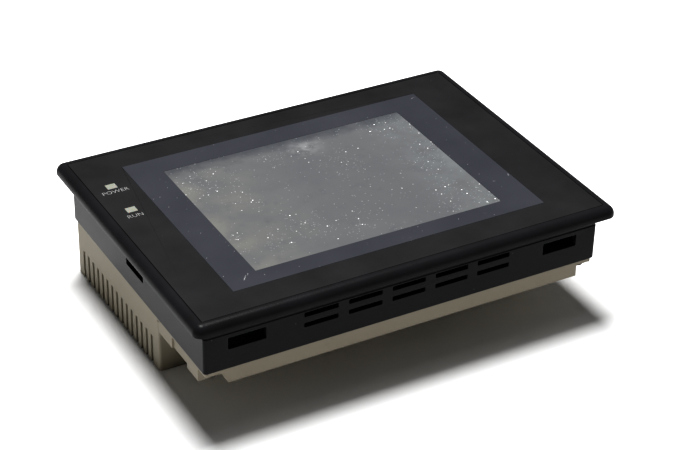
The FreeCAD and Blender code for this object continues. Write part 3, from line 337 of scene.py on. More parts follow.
# ---- Materials
def make_materials():
    """All finishes, by the name the operators use."""
    tint = colours()
    kit = {}

    # Polycarbonate, injection moulded with a fine spark-eroded grain: deep black, soft broad sheen, pale dust
    kit["bezel"] = mottled("Moulded black polycarbonate", tint.bezel, "#232325", 0.55, 0.035, "#8b8c8c",
                           BEZEL_SCUFFS, Roughness=0.30, Specular_IOR_Level=0.07)
    # Polyester film, screen printed on its rear and embossed velvet: even dark grey without a clear highlight
    kit["overlay"] = mottled("Velvet polyester film printed black", tint.overlay, "#252526", 0.45, 0.004,
                             "#9a9b9b", Roughness=0.5, Specular_IOR_Level=0.12)
    kit["border"] = touch_border_film(tint.border)
    kit["picture"] = unlit_display(tint.picture)
    kit["window"] = indicator_film(tint.window)
    # Screen-printed ink on the film: flat light grey with thin spots
    kit["legend"] = mottled("Screen printed grey ink", tint.legend, "#8d8d8c", 0.3, 0.002, None,
                            Roughness=0.6, Specular_IOR_Level=0.3)
    kit["case"] = textured_case(tint.case)
    # Nitrile rubber, die cut: dull black
    kit["rubber"] = mottled("Die cut nitrile rubber", "#141415", "#1e1e1f", 0.5, 0.02, "#6f6f6e",
                            Roughness=0.8, Specular_IOR_Level=0.2)
    # Polyurethane foam strip: open cells, almost no shine
    kit["foam"] = mottled("Cut polyurethane foam", "#18181a", "#2b2b2d", 0.4, 0.08, None,
                          Roughness=0.95, Specular_IOR_Level=0.1)
    kit["zinc"] = plated("Zinc plated steel sheet", "#b9bcbf", "#9aa0a8", 0.34, 7.0)
    kit["nickel"] = plated("Nickel plated brass", "#cfcbc2", "#b3aea2", 0.27, 2.0)
    kit["shell"] = plated("Tin plated drawn steel", "#c6c7c6", "#a9aaab", 0.3, 3.0)
    kit["gold"] = plated("Gold flashed phosphor bronze", "#e0b85c", "#c79b45", 0.25, 1.0)
    kit["black_screw"] = plated("Black zinc plated steel", "#2c2c2e", "#1c1c1f", 0.38, 1.5)
    kit["brass"] = plated("Turned brass", "#c7a254", "#a98440", 0.3, 1.2)
    kit["display_steel"] = plated("Stamped tinned steel", "#a6a8a8", "#8b8e90", 0.4, 9.0)
    kit["can"] = plated("Extruded aluminium can", "#c8cacb", "#abafb2", 0.3, 3.0)
    # Thermoset and engineering resins, moulded: dense black with a slight grain
    kit["terminal"] = mottled("Moulded black phenolic", "#1a1a1b", "#262627", 0.3, 0.012, "#6b6a66",
                              Roughness=0.45, Specular_IOR_Level=0.4)
    kit["connector"] = mottled("Glass filled black polyester", "#161617", "#222223", 0.25, 0.01, None,
                               Roughness=0.5, Specular_IOR_Level=0.4)
    kit["chip"] = mottled("Moulded black epoxy", "#1b1b1d", "#28282a", 0.2, 0.008, None,
                          Roughness=0.6, Specular_IOR_Level=0.35)
    kit["dip"] = mottled("Moulded red nylon", "#8c1c1b", "#a12523", 0.3, 0.008, None,
                         Roughness=0.42, Specular_IOR_Level=0.45)
    kit["slider"] = mottled("Moulded white acetal", "#e4e2da", "#d3d0c6", 0.3, 0.006, None,
                            Roughness=0.38, Specular_IOR_Level=0.45)
    kit["button"] = mottled("Moulded grey acetal", "#3a3a3c", "#49494b", 0.3, 0.008, None,
                            Roughness=0.4, Specular_IOR_Level=0.45)
    kit["white_resin"] = mottled("Moulded white polycarbonate", "#d9d9d4", "#c8c8c2", 0.4, 0.006, None,
                                 Roughness=0.45, Specular_IOR_Level=0.45)
    kit["ferrite"] = mottled("Sintered ferrite", "#34322f", "#45423e", 0.25, 0.03, None,
                             Roughness=0.7, Specular_IOR_Level=0.4)
    kit["sleeve"] = mottled("Shrunk blue vinyl sleeve", "#2f5f9e", "#3a6dad", 1.5, 0.02, None,
                            Roughness=0.35, Specular_IOR_Level=0.5)
    kit["label"] = mottled("Silver polyester label", "#b4b5b4", "#a6a7a7", 0.4, 0.003, None,
                           Roughness=0.4, Specular_IOR_Level=0.5)
    kit["label_ink"] = mottled("Printed black ink", "#242425", "#303031", 0.3, 0.002, None,
                               Roughness=0.5, Specular_IOR_Level=0.4)
    kit["board"] = circuit_board()
    # Clear and translucent sheets inside the panel
    kit["acrylic"] = clear("Cast clear acrylic", "#f2f4f4", 1.49, 0.05, 6.0)
    kit["glass"] = clear("Float glass", "#eef4f1", 1.52, 0.02, 14.0)
    kit["lamp"] = clear("Phosphor coated glass tube", "#f4f2ea", 1.5, 0.35, 3.0)
    # Polyimide flat cable: translucent amber with copper tracks under it
    kit["cable"] = flat_cable()
    kit["diffuser"] = mottled("Matt diffuser film", "#e6e7e4", "#d8dad6", 0.8, 0.004, None,
                              Roughness=0.7, Specular_IOR_Level=0.3)
    return kit


def touch_border_film(colour):
    """Polyester touch film printed grey on its rear: satin, a little bluish, with hair scratches."""
    made, tree, shader, coords = begin("Satin polyester film printed grey", Roughness=0.36,
                                       Specular_IOR_Level=0.22)
    cloud = noise(tree, coords, 40.0, 3.0)
    tone = blended(tree, ramp(tree, cloud, [(0.3, 0.0), (0.75, 1.0)]), linear(colour), linear("#3a3b40"))
    scratch = scratches(tree, coords, 9.0, 0.012)
    tone = blended(tree, product(tree, scratch, 0.35), tone, linear("#8f9092"))
    speck, pick = specks(tree, coords, 3.0, 0.06, 0.06, level=True)
    tone = blended(tree, product(tree, speck, pick), tone, linear("#a4a5a5"))
    tone = scuffed(tree, coords, tone, BORDER_SCUFFS, "#9c9d9e")
    tree.links.new(tone, shader.inputs["Base Color"])
    tree.links.new(spread(tree, cloud, 0.30, 0.42), shader.inputs["Roughness"])
    bump(tree, shader, noise(tree, coords, 0.3, 2.0), 0.003)
    return made


def scratches(tree, coords, spacing, width):
    """1 along short hair scratches that run in scattered directions."""
    bent = add_node(tree, "ShaderNodeTexNoise",
                    {"Vector": coords, "Scale": per_mm(spacing * 3), "Detail": 1.0})
    moved = add_node(tree, "ShaderNodeVectorMath", {0: bent.outputs["Color"], 1: (0.02, 0.02, 0.0)},
                     operation="MULTIPLY").outputs[0]
    place = add_node(tree, "ShaderNodeVectorMath", {0: coords, 1: moved}, operation="ADD").outputs[0]
    place = add_node(tree, "ShaderNodeMapping",
                     {"Vector": place, "Rotation": (0.0, 0.0, 0.7), "Scale": (1.0, 6.0, 1.0)}).outputs[0]
    cells = add_node(tree, "ShaderNodeTexVoronoi",
                     {"Vector": place, "Scale": per_mm(spacing), "Randomness": 1.0},
                     feature="DISTANCE_TO_EDGE")
    line = maths(tree, "LESS_THAN", cells.outputs["Distance"], width)
    patchy = maths(tree, "GREATER_THAN", noise(tree, coords, 6.0, 2.0), 0.68)
    return product(tree, line, patchy)


def unlit_display(colour):
    """Unlit liquid crystal display behind an anti-glare film: cloudy mid grey with bright dust specks."""
    made, tree, shader, coords = begin("Unlit display behind anti glare film", Roughness=0.34,
                                       Specular_IOR_Level=0.3)
    axes = add_node(tree, "ShaderNodeSeparateXYZ", {"Vector": coords})
    x, y = axes.outputs[0], axes.outputs[1]
    left, right = VIEW_AT[0] - VIEW_W / 2, VIEW_AT[0] + VIEW_W / 2
    high = VIEW_AT[1] + VIEW_H / 2

    def across(value, start, end):
        """0 at the start, rising to 1 at the end."""
        return add_node(tree, "ShaderNodeMapRange",
                        {"Value": value, "From Min": start, "From Max": end}).outputs[0]

    cloud = noise(tree, coords, 30.0, 5.0, 0.6, 0.6)
    tone = blended(tree, ramp(tree, cloud, [(0.28, 0.0), (0.74, 1.0)]), linear("#565759"), linear(colour))
    # A faint brownish haze at the left, a pale one at the right, and a smudge by the middle of the upper edge
    warm = ramp(tree, noise(tree, coords, 14.0), [(0.35, 0.2), (0.7, 1.0)])
    warm = product(tree, across(x, left + 45 * MM, left), warm)
    tone = blended(tree, product(tree, warm, 0.6), tone, linear("#71706a"))
    pale = ramp(tree, noise(tree, coords, 10.0), [(0.3, 0.1), (0.75, 1.0)])
    pale = product(tree, across(x, right - 30 * MM, right), pale)
    tone = blended(tree, product(tree, pale, 0.5), tone, linear("#737677"))
    smudge = ball(tree, coords, (VIEW_AT[0] + 6 * MM, high - 8.5 * MM, FACE_TOP), 12 * MM)
    broken = ramp(tree, noise(tree, coords, 4.0, 5.0), [(0.35, 0.0), (0.75, 0.7)])
    tone = blended(tree, product(tree, smudge, broken), tone, linear("#8d8e8e"))
    # Shade of the frame's lip along the upper edge, uneven as the film touches it
    wave = product(tree, maths(tree, "SUBTRACT", noise(tree, coords, 9.0, 4.0), 0.5), 1.5)
    edge = maths(tree, "ADD", across(y, high - 9.5 * MM, high - 0.5 * MM), wave)
    edge = ramp(tree, edge, [(0.12, 0.0), (1.05, 1.0)])
    tone = blended(tree, product(tree, edge, 0.85), tone, linear("#3f4146"))
    # Fine mist of dust, then single bright specks, both thickest in the patches
    gathered = 0.0
    for px, py, reach in DUST_PATCHES:
        patch = ball(tree, coords, (px * MM, py * MM, FACE_TOP), reach * MM)
        gathered = maths(tree, "ADD", patch, gathered)
    for cell, radius, thin, thick, colour in DUST_SIZES:
        density = spread(tree, gathered, thin, thick)
        speck, pick = specks(tree, coords, cell, density, radius, level=True)
        tone = blended(tree, product(tree, speck, pick), tone, linear(colour))
    tree.links.new(tone, shader.inputs["Base Color"])
    bump(tree, shader, noise(tree, coords, 0.35, 2.0), 0.003)
    return made


def ball(tree, coords, centre, reach):
    """1 at the centre, fading to 0 at reach."""
    apart = add_node(tree, "ShaderNodeVectorMath", {0: coords, 1: centre}, operation="DISTANCE")
    return add_node(tree, "ShaderNodeMapRange",
                    {"Value": apart.outputs["Value"], "From Min": reach, "From Max": 0.0},
                    interpolation_type="SMOOTHSTEP").outputs[0]


def indicator_film(colour):
    """Unprinted translucent window over a light pipe: milky off-white, faintly warm where the pipe stands."""
    made, tree, shader, coords = begin("Translucent polyester window", Roughness=0.4, Specular_IOR_Level=0.4,
                                       Subsurface_Weight=0.15, Subsurface_Scale=0.6 * MM)
    cloud = noise(tree, coords, 2.4, 3.0)
    tone = blended(tree, ramp(tree, cloud, [(0.35, 0.0), (0.7, 1.0)]), linear(colour), linear("#7f8171"))
    tree.links.new(tone, shader.inputs["Base Color"])
    bump(tree, shader, noise(tree, coords, 0.4, 2.0), 0.004)
    return made


def textured_case(colour):
    """ABS, injection moulded with an eroded grain: warm light grey, dull, with a few handling marks."""
    made, tree, shader, coords = begin("Textured warm grey ABS", Roughness=0.58, Specular_IOR_Level=0.3)
    cloud = noise(tree, coords, 35.0, 4.0)
    tone = blended(tree, ramp(tree, cloud, [(0.3, 0.0), (0.75, 1.0)]), linear(colour), linear("#878172"))
    stain = ramp(tree, noise(tree, coords, 11.0, 6.0, 0.7), [(0.6, 0.0), (0.8, 1.0)])
    tone = blended(tree, product(tree, stain, 0.3), tone, linear("#645e51"))
    speck, pick = specks(tree, coords, 3.4, 0.12, 0.05)
    tone = blended(tree, product(tree, speck, pick), tone, linear("#4d483e"))
    tree.links.new(tone, shader.inputs["Base Color"])
    tree.links.new(spread(tree, cloud, 0.5, 0.66), shader.inputs["Roughness"])
    bump(tree, shader, noise(tree, coords, 0.4, 3.0), 0.018)
    return made


def plated(name, light, dark, rough, cloud_size):
    """Plated or bare metal: cloudy tone, directional hairlines and a smooth reflection."""
    made, tree, shader, coords = begin(name, Metallic=1.0, Roughness=rough)
    cloud = noise(tree, coords, cloud_size, 5.0, 0.65)
    tone = blended(tree, ramp(tree, cloud, [(0.35, 0.0), (0.7, 1.0)]), linear(light), linear(dark))
    tree.links.new(tone, shader.inputs["Base Color"])
    lines = add_node(tree, "ShaderNodeMapping", {"Vector": coords, "Scale": (1.0, 8.0, 1.0)}).outputs[0]
    hair = noise(tree, lines, 0.9, 4.0, 0.7)
    tree.links.new(spread(tree, hair, rough - 0.08, rough + 0.12), shader.inputs["Roughness"])
    bump(tree, shader, hair, 0.002)
    return made


def clear(name, colour, ior, rough, cloud_size):
    """Clear sheet or tube: transmission with faint waviness."""
    made, tree, shader, coords = begin(name, IOR=ior, Transmission_Weight=0.9)
    cloud = noise(tree, coords, cloud_size, 3.0)
    tone = blended(tree, cloud, linear(colour), linear("#e3e8e6"))
    tree.links.new(tone, shader.inputs["Base Color"])
    tree.links.new(spread(tree, cloud, rough, rough + 0.05), shader.inputs["Roughness"])
    bump(tree, shader, cloud, 0.004)
    return made


def circuit_board():
    """Glass epoxy board under green solder mask: tracks show as lighter lines, with tinned pads."""
    made, tree, shader, coords = begin("Green masked glass epoxy", Roughness=0.35, Specular_IOR_Level=0.5)
    cells = add_node(tree, "ShaderNodeTexVoronoi",
                     {"Vector": coords, "Scale": per_mm(2.4), "Randomness": 0.35},
                     feature="DISTANCE_TO_EDGE")
    track = maths(tree, "LESS_THAN", cells.outputs["Distance"], 0.07)
    tone = blended(tree, noise(tree, coords, 18.0), linear("#1d4a2c"), linear("#245636"))
    tone = blended(tree, product(tree, track, 0.7), tone, linear("#3c7a4c"))
    pad = specks(tree, coords, 2.54, 0.25, 0.2)[0]
    tone = blended(tree, pad, tone, linear("#b9bab4"))
    tree.links.new(tone, shader.inputs["Base Color"])
    bump(tree, shader, track, 0.03)
    return made


def flat_cable():
    """Polyimide cable: amber film over copper lines."""
    made, tree, shader, coords = begin("Laminated polyimide cable", Roughness=0.3, Specular_IOR_Level=0.5)
    waves_per_cell = 20
    lines = add_node(tree, "ShaderNodeTexWave",
                     {"Vector": coords, "Scale": per_mm(1.0) / waves_per_cell, "Distortion": 0.0},
                     bands_direction="X", wave_profile="SIN").outputs["Fac"]
    tone = blended(tree, ramp(tree, lines, [(0.45, 0.0), (0.55, 1.0)]), linear("#8a5a22"), linear("#b9813a"))
    tree.links.new(tone, shader.inputs["Base Color"])
    bump(tree, shader, lines, 0.02)
    return made


MATERIALS = {}


def finish_of(name):
    """A finish by its name; all are made the first time that one is asked for."""
    if not MATERIALS:
        MATERIALS.update(make_materials())
    return MATERIALS[name]


# ---- Mesh helpers
def object_from(bm, name, finish, smooth=None):
    """Turn a bmesh into an object at the origin with one finish."""
    bmesh.ops.recalc_face_normals(bm, faces=bm.faces)
    mesh = bpy.data.meshes.new(name)
    bm.to_mesh(mesh)
    bm.free()
    made = bpy.data.objects.new(name, mesh)
    bpy.context.collection.objects.link(made)
    mesh.materials.append(finish_of(finish))
    if smooth is not None:
        mesh.shade_smooth()
        mesh.set_sharp_from_angle(angle=math.radians(smooth))
        even = made.modifiers.new("Even normals", "WEIGHTED_NORMAL")
        even.mode = "FACE_AREA"
        even.weight = 100
        even.keep_sharp = True
    return made


def attach(made, body, nodes=()):
    """Say what the piece rides on and which CAD nodes it stands for."""
    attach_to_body(made, body)
    if nodes:
        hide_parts(*nodes)
    return made


def sharp_edges(bm, angle):
    """Edges whose two faces meet at more than this many degrees."""
    limit = math.radians(angle)
    return [e for e in bm.edges if len(e.link_faces) == 2 and e.calc_face_angle(0.0) > limit]


def round_off(bm, edges, radius, segments=2):
    """Round these edges in this many steps."""
    bmesh.ops.bevel(bm, geom=edges, offset=radius, offset_type="OFFSET", segments=segments, profile=0.5,
                    affect="EDGES", clamp_overlap=False, material=-1, miter_outer="ARC")


def merged_copy(node):
    """The CAD node's mesh with its doubles merged and its flat faces whole."""
    bm = bmesh.new()
    bm.from_mesh(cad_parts[node].data)
    bmesh.ops.remove_doubles(bm, verts=bm.verts, dist=1e-6)
    bmesh.ops.dissolve_limit(bm, angle_limit=math.radians(0.5), use_dissolve_boundaries=False,
                             verts=bm.verts, edges=bm.edges, delimit={"NORMAL"})
    return bm


def softened(node, name, finish, body, radius, segments=2):
    """A copy of a CAD node with softened edges, which stands for it."""
    bm = merged_copy(node)
    round_off(bm, sharp_edges(bm, SHARP_ANGLE), radius, segments)
    bmesh.ops.triangulate(bm, faces=[f for f in bm.faces if len(f.verts) > 4])
    made = object_from(bm, name, finish, smooth=SMOOTH_ANGLE)
    return attach(made, body, (node,))


def box_of(bm, low, high):
    """Add a box between two corners to the bmesh and return its verts."""
    centre = [(a + b) / 2 for a, b in zip(low, high)]
    size = [b - a for a, b in zip(low, high)]
    move = Matrix.Translation(centre) @ Matrix.Diagonal((*size, 1.0))
    return bmesh.ops.create_cube(bm, size=1.0, matrix=move)["verts"]


def edges_of(verts):
    """Every edge that ends at one of these verts."""
    return list({e for v in verts for e in v.link_edges})


def plate_with_hole(bm, low, high, hole_low, hole_high):
    """Add a flat plate with a rectangular hole through it, both given by their corners."""
    top, bottom = high[2], low[2]
    rings = []
    for (x0, y0), (x1, y1) in (((low[0], low[1]), (high[0], high[1])), (hole_low, hole_high)):
        for z in (top, bottom):
            loop = [bm.verts.new((x, y, z)) for x, y in ((x0, y0), (x1, y0), (x1, y1), (x0, y1))]
            rings.append([bm.edges.new((loop[i], loop[(i + 1) % 4])) for i in range(4)])
    outer_top, outer_low, inner_top, inner_low = rings
    for a, b in ((outer_top, inner_top), (outer_low, inner_low),
                 (outer_top, outer_low), (inner_top, inner_low)):
        bmesh.ops.bridge_loops(bm, edges=a + b)


def text_mesh(words, name, size, centre, level, thick, finish, turn=None):
    """Printed words as a thin mesh, with its middle at this x and y and at the level, turned if asked."""
    curve = bpy.data.curves.new(name, "FONT")
    curve.body = words
    curve.size = size / CAPITAL_SHARE
    curve.align_x = "CENTER"
    curve.align_y = "CENTER"
    curve.extrude = thick / 2
    curve.offset = -STROKE_THINNED * size
    curve.resolution_u = 3
    holder = bpy.data.objects.new(name + "_curve", curve)
    bpy.context.collection.objects.link(holder)
    bpy.context.view_layer.update()
    mesh = bpy.data.meshes.new_from_object(holder.evaluated_get(bpy.context.evaluated_depsgraph_get()))
    bpy.data.objects.remove(holder)
    bpy.data.curves.remove(curve)
    bm = bmesh.new()
    bm.from_mesh(mesh)
    bpy.data.meshes.remove(mesh)
    bmesh.ops.remove_doubles(bm, verts=bm.verts, dist=1e-6)
    xs = [v.co.x for v in bm.verts]
    ys = [v.co.y for v in bm.verts]
    middle = Vector(((min(xs) + max(xs)) / 2, (min(ys) + max(ys)) / 2, 0.0))
    bmesh.ops.translate(bm, vec=-middle, verts=bm.verts)
    if turn:
        bmesh.ops.transform(bm, matrix=turn, verts=bm.verts)
    bmesh.ops.translate(bm, vec=Vector((centre[0], centre[1], level)), verts=bm.verts)
    return object_from(bm, name, finish)


# ---- Operators, one for each group of pieces
class TOUCHPANEL_OT_bezel(bpy.types.Operator):
    """Front moulding with softened edges, and its sealing frame"""

    bl_idname = "touchpanel.bezel"
    bl_label = "Front bezel"

    def execute(self, context):
        edge = sizes().case_edge
        softened("front_bezel", "bezel", "bezel", HOUSING, edge)
        softened("panel_gasket", "gasket", "rubber", HOUSING, sizes().small_edge)
        return {"FINISHED"}


class TOUCHPANEL_OT_overlay(bpy.types.Operator):
    """Printed front film, its two windows and their legends"""

    bl_idname = "touchpanel.overlay"
    bl_label = "Overlay and legends"

    def execute(self, context):
        softened("overlay_sheet", "overlay", "overlay", HOUSING, SHEET_EDGE, 1)
        for node in ("power_window", "run_window"):
            softened(node, node + "_film", "window", HOUSING, WINDOW_EDGE, 1)
        for words, node, drop, shift in LEGENDS:
            low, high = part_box(node)
            centre = ((low[0] + high[0]) / 2 + shift * MM, (low[1] + high[1]) / 2 - drop * MM)
            made = text_mesh(words, "legend_" + words.lower(), sizes().legend, centre, FACE_TOP + PRINT_T / 2,
                             PRINT_T, "legend")
            attach(made, HOUSING)
        return {"FINISHED"}


class TOUCHPANEL_OT_touch_area(bpy.types.Operator):
    """Grey border film and the picture area inside it"""

    bl_idname = "touchpanel.touch_area"
    bl_label = "Touch area"

    def execute(self, context):
        x, y = VIEW_AT
        view_low = (x - VIEW_W / 2, y - VIEW_H / 2)
        view_high = (x + VIEW_W / 2, y + VIEW_H / 2)
        bm = bmesh.new()
        plate_with_hole(bm, FILM_LOW, FILM_HIGH, view_low, view_high)
        border = object_from(bm, "touch_border", "border")
        attach(border, HOUSING, ("touch_film",))

        bm = bmesh.new()
        low = (view_low[0] + FILM_GAP, view_low[1] + FILM_GAP, FILM_LOW[2])
        high = (view_high[0] - FILM_GAP, view_high[1] - FILM_GAP, FILM_HIGH[2] - FILM_GAP)
        verts = box_of(bm, low, high)
        rim = [e for e in edges_of(verts) if all(v.co.z > high[2] - 1e-7 for v in e.verts)]
        round_off(bm, rim, PICTURE_EDGE, 1)
        picture = object_from(bm, "picture_area", "picture")
        attach(picture, HOUSING)
        return {"FINISHED"}


class TOUCHPANEL_OT_rear_case(bpy.types.Operator):
    """Rear moulding with softened edges"""

    bl_idname = "touchpanel.rear_case"
    bl_label = "Rear case"

    def execute(self, context):
        softened("rear_case", "case", "case", HOUSING, sizes().case_edge)
        return {"FINISHED"}


class TOUCHPANEL_OT_covers(bpy.types.Operator):
    """Battery cover with grip ribs, the battery, and the expansion cover"""

    bl_idname = "touchpanel.covers"
    bl_label = "Covers"

    def execute(self, context):
        edge = sizes().small_edge
        softened("battery_cover", "battery_lid", "case", "battery_cover", edge)
        softened("expansion_cover", "expansion_cap", "case", "expansion_cover", edge)
        softened("battery", "battery_cell", "sleeve", HOUSING, edge)
        self.grip()
        return {"FINISHED"}

    def grip(self):
        """Seven ribs along the lid's lower edge, inside its grip recess."""
        pitch, half = 1.3 * MM, 0.25 * MM
        low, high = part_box("battery_cover")
        middle = (low[0] + high[0]) / 2
        y_from, y_to = low[1] + 0.1 * MM, low[1] + 1.8 * MM
        z_from, z_to = 0.25 * MM, 0.85 * MM
        bm = bmesh.new()
        for i in range(-3, 4):
            x = middle + i * pitch
            verts = box_of(bm, (x - half, y_from, z_from), (x + half, y_to, z_to))
            round_off(bm, edges_of(verts), RIB_EDGE, 2)
        attach(object_from(bm, "battery_lid_grip", "case"), "battery_cover")


class TOUCHPANEL_OT_label(bpy.types.Operator):
    """Blank rating plate with printed frame lines"""

    bl_idname = "touchpanel.label"
    bl_label = "Rating plate"

    def execute(self, context):
        softened("rating_label", "rating_plate", "label", HOUSING, LABEL_EDGE, 1)
        low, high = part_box("rating_label")
        top, bottom = low[2], low[2] - PRINT_T
        inset, line, column = 1.6 * MM, 0.25 * MM, 0.36
        x0, x1, y0, y1 = low[0] + inset, high[0] - inset, low[1] + inset, high[1] - inset
        bm = bmesh.new()
        plate_with_hole(bm, (x0, y0, bottom), (x1, y1, top), (x0 + line, y0 + line), (x1 - line, y1 - line))
        for share in (0.25, 0.5, 0.75):
            y = y0 + (y1 - y0) * share
            box_of(bm, (x0 + line, y - line / 2, bottom), (x1 - line, y + line / 2, top))
        x = x0 + (x1 - x0) * column
        box_of(bm, (x - line / 2, y0 + line, bottom), (x + line / 2, y1 - line, top))
        attach(object_from(bm, "rating_plate_lines", "label_ink"), HOUSING)
        return {"FINISHED"}


def shell_outline(x, level, w, h, y, grow):
    """Corners of a D-shaped shell, wide side up, grown by so much."""
    return [(x - w / 2 + SHELL_LEAN - grow, y, level - h / 2 - grow),
            (x + w / 2 - SHELL_LEAN + grow, y, level - h / 2 - grow),
            (x + w / 2 + grow, y, level + h / 2 + grow),
            (x - w / 2 - grow, y, level + h / 2 + grow)]


class TOUCHPANEL_OT_ports(bpy.types.Operator):
    """Two serial ports: insulator, drawn shell, contacts and jackscrews"""

    bl_idname = "touchpanel.ports"
    bl_label = "Serial ports"

    def execute(self, context):
        for node, pins, x, shell_w in PORTS:
            softened(node, node + "_body", "connector", HOUSING, PORT_EDGE)
            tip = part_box(node)[0][1]
            self.shell(node + "_shell", x * MM, PORT_LEVEL, shell_w * MM, SHELL_H, tip)
            self.contacts(node + "_contacts", pins, x * MM, PORT_LEVEL, tip)
        softened("port_jackscrews", "jackscrews", "nickel", HOUSING, sizes().screw_edge)
        return {"FINISHED"}

    def shell(self, name, x, level, w, h, tip):
        """Thin steel ring around an insulator, rounded at its corners and rolled at its tip."""
        bm = bmesh.new()
        loops = []
        front, back = tip - SHELL_LIP, tip + SHELL_DEPTH
        outer = sizes().shell
        for y, grow in ((front, SHELL_FIT), (front, outer), (back, outer), (back, SHELL_FIT)):
            verts = [bm.verts.new(p) for p in shell_outline(x, level, w, h, y, grow)]
            loops.append([bm.edges.new((verts[i], verts[(i + 1) % 4])) for i in range(4)])
        for i in range(4):
            bmesh.ops.bridge_loops(bm, edges=loops[i] + loops[(i + 1) % 4])
        along = [e for e in bm.edges if abs(e.verts[0].co.y - e.verts[1].co.y) > 1.0 * MM]
        round_off(bm, along, SHELL_CORNER, 5)
        rim = [e for e in sharp_edges(bm, 60.0) if all(abs(v.co.y - front) < 1e-6 for v in e.verts)]
        round_off(bm, rim, SHELL_ROLL, 2)
        attach(object_from(bm, name, "shell", smooth=SMOOTH_ANGLE), HOUSING)

    def contacts(self, name, pins, x, level, tip):
        """Gold sockets just inside the contact holes."""
        bm = bmesh.new()
        for row, count in ((1, (pins + 1) // 2), (-1, pins // 2)):
            for i in range(count):
                across = x + (i - (count - 1) / 2) * CONTACT_PITCH
                place = Vector((across, tip + CONTACT_SUNK, level + row * CONTACT_ROW))
                turn = Matrix.Translation(place) @ Matrix.Rotation(math.radians(90), 4, "X")
                disc = bmesh.ops.create_circle(bm, cap_ends=True, radius=CONTACT_R, segments=16, matrix=turn)
                face = next(f for f in disc["verts"][0].link_faces)
                bmesh.ops.inset_individual(bm, faces=[face], thickness=CONTACT_WALL, depth=0.0)
                deep = bmesh.ops.extrude_discrete_faces(bm, faces=[face])["faces"][0]
                bmesh.ops.translate(bm, vec=Vector((0, CONTACT_BORE, 0)), verts=deep.verts)
        attach(object_from(bm, name, "gold"), HOUSING)


class TOUCHPANEL_OT_switches(bpy.types.Operator):
    """Selector switch with numbered sliders, and the reset button"""

    bl_idname = "touchpanel.switches"
    bl_label = "Switches"

    def execute(self, context):
        edge = sizes().small_edge
        softened("dip_switch", "selector_body", "dip", HOUSING, SWITCH_EDGE)
        softened("reset_button", "reset_cap", "button", "reset_button", edge)
        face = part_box("dip_switch")[0]
        upright = Matrix.Rotation(math.radians(90), 4, "X")
        for number in range(1, 5):
            node = "dip_slider_%d" % number
            softened(node, "selector_slider_%d" % number, "slider", node, SLIDER_EDGE)
            low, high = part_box(node)
            centre = ((low[0] + high[0]) / 2, face[1])
            digit = text_mesh(str(number), "selector_digit_%d" % number, DIGIT_H, centre,
                              face[2] + DIGIT_RISE, PRINT_T, "white_resin", upright)
            attach(digit, HOUSING)
        return {"FINISHED"}


class TOUCHPANEL_OT_terminals(bpy.types.Operator):
    """Barrier block with its square washers and screws, and the marks beside them"""

    bl_idname = "touchpanel.terminals"
    bl_label = "Power terminals"

    def execute(self, context):
        softened("terminal_block", "barrier_block", "terminal", HOUSING, BLOCK_EDGE)
        edge = sizes().screw_edge
        for number in (1, 2, 3):
            for part in ("washer", "screw"):
                node = "terminal_%s_%d" % (part, number)
                softened(node, "pole_%s_%d" % (part, number), "nickel", node, edge)
        self.marks()
        return {"FINISHED"}

    def marks(self):
        """Printed plus, minus and earth signs on the rear face above the poles."""
        clearance, line, arm = 3.4, 0.35, 1.1
        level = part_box("terminal_block")[1][1] + clearance * MM
        screws = [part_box("terminal_screw_%d" % number) for number in (1, 2, 3)]
        plus, minus, earth = [(low[0] + high[0]) / 2 for low, high in screws]
        # Bars: middle in x, height above the level, half width and half height, the last three in millimetres
        bars = [(plus, 0.0, arm, 0.0), (plus, 0.0, 0.0, arm), (minus, 0.0, arm, 0.0),
                (earth, -0.3, 1.2, 0.0), (earth, -0.85, 0.75, 0.0), (earth, -1.4, 0.35, 0.0),
                (earth, 0.5, 0.0, 0.7)]
        bm = bmesh.new()
        for x, above, half_w, half_h in bars:
            y = level + above * MM
            w, h = max(half_w, line / 2) * MM, max(half_h, line / 2) * MM
            box_of(bm, (x - w, y - h, REAR_FACE - PRINT_T), (x + w, y + h, REAR_FACE + PRINT_T))
        attach(object_from(bm, "pole_marks", "label_ink"), HOUSING)


class TOUCHPANEL_OT_fasteners(bpy.types.Operator):
    """Case screws, bracket screws and board spacers"""

    bl_idname = "touchpanel.fasteners"
    bl_label = "Fasteners"

    def execute(self, context):
        edge = sizes().screw_edge
        softened("rear_screws", "case_screws", "black_screw", HOUSING, edge)
        softened("bracket_screws", "plate_screws", "zinc", HOUSING, edge)
        softened("board_spacers", "board_posts", "brass", HOUSING, edge)
        return {"FINISHED"}


class TOUCHPANEL_OT_inside(bpy.types.Operator):
    """Display module, boards and their parts, which keep their CAD meshes, and the expansion socket"""

    bl_idname = "touchpanel.inside"
    bl_label = "Inside"

    def execute(self, context):
        finishes = {
            "board": ("main_board", "interface_board", "power_board", "inverter_board", "switch_board",
                      "led_board"),
            "chip": ("main_chips", "buzzer"),
            "connector": ("stacking_connector", "reset_switch"),
            "ferrite": ("inverter_transformer", "power_transformer"),
            "can": ("power_capacitors",),
            "zinc": ("display_bracket",),
            "display_steel": ("lcd_frame",),
            "white_resin": ("lcd_tray", "status_leds"),
            "glass": ("touch_glass", "lcd_cell"),
            "acrylic": ("light_guide", "light_pipes"),
            "diffuser": ("diffuser_sheet",),
            "lamp": ("backlight_lamp",),
            "cable": ("touch_tail", "lcd_flex"),
            "foam": ("display_cushion",),
        }
        for finish, nodes in finishes.items():
            for node in nodes:
                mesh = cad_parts[node].data
                mesh.materials.clear()
                mesh.materials.append(finish_of(finish))
        softened("expansion_connector", "expansion_socket", "connector", HOUSING,
                 SOCKET_EDGE)
        return {"FINISHED"}


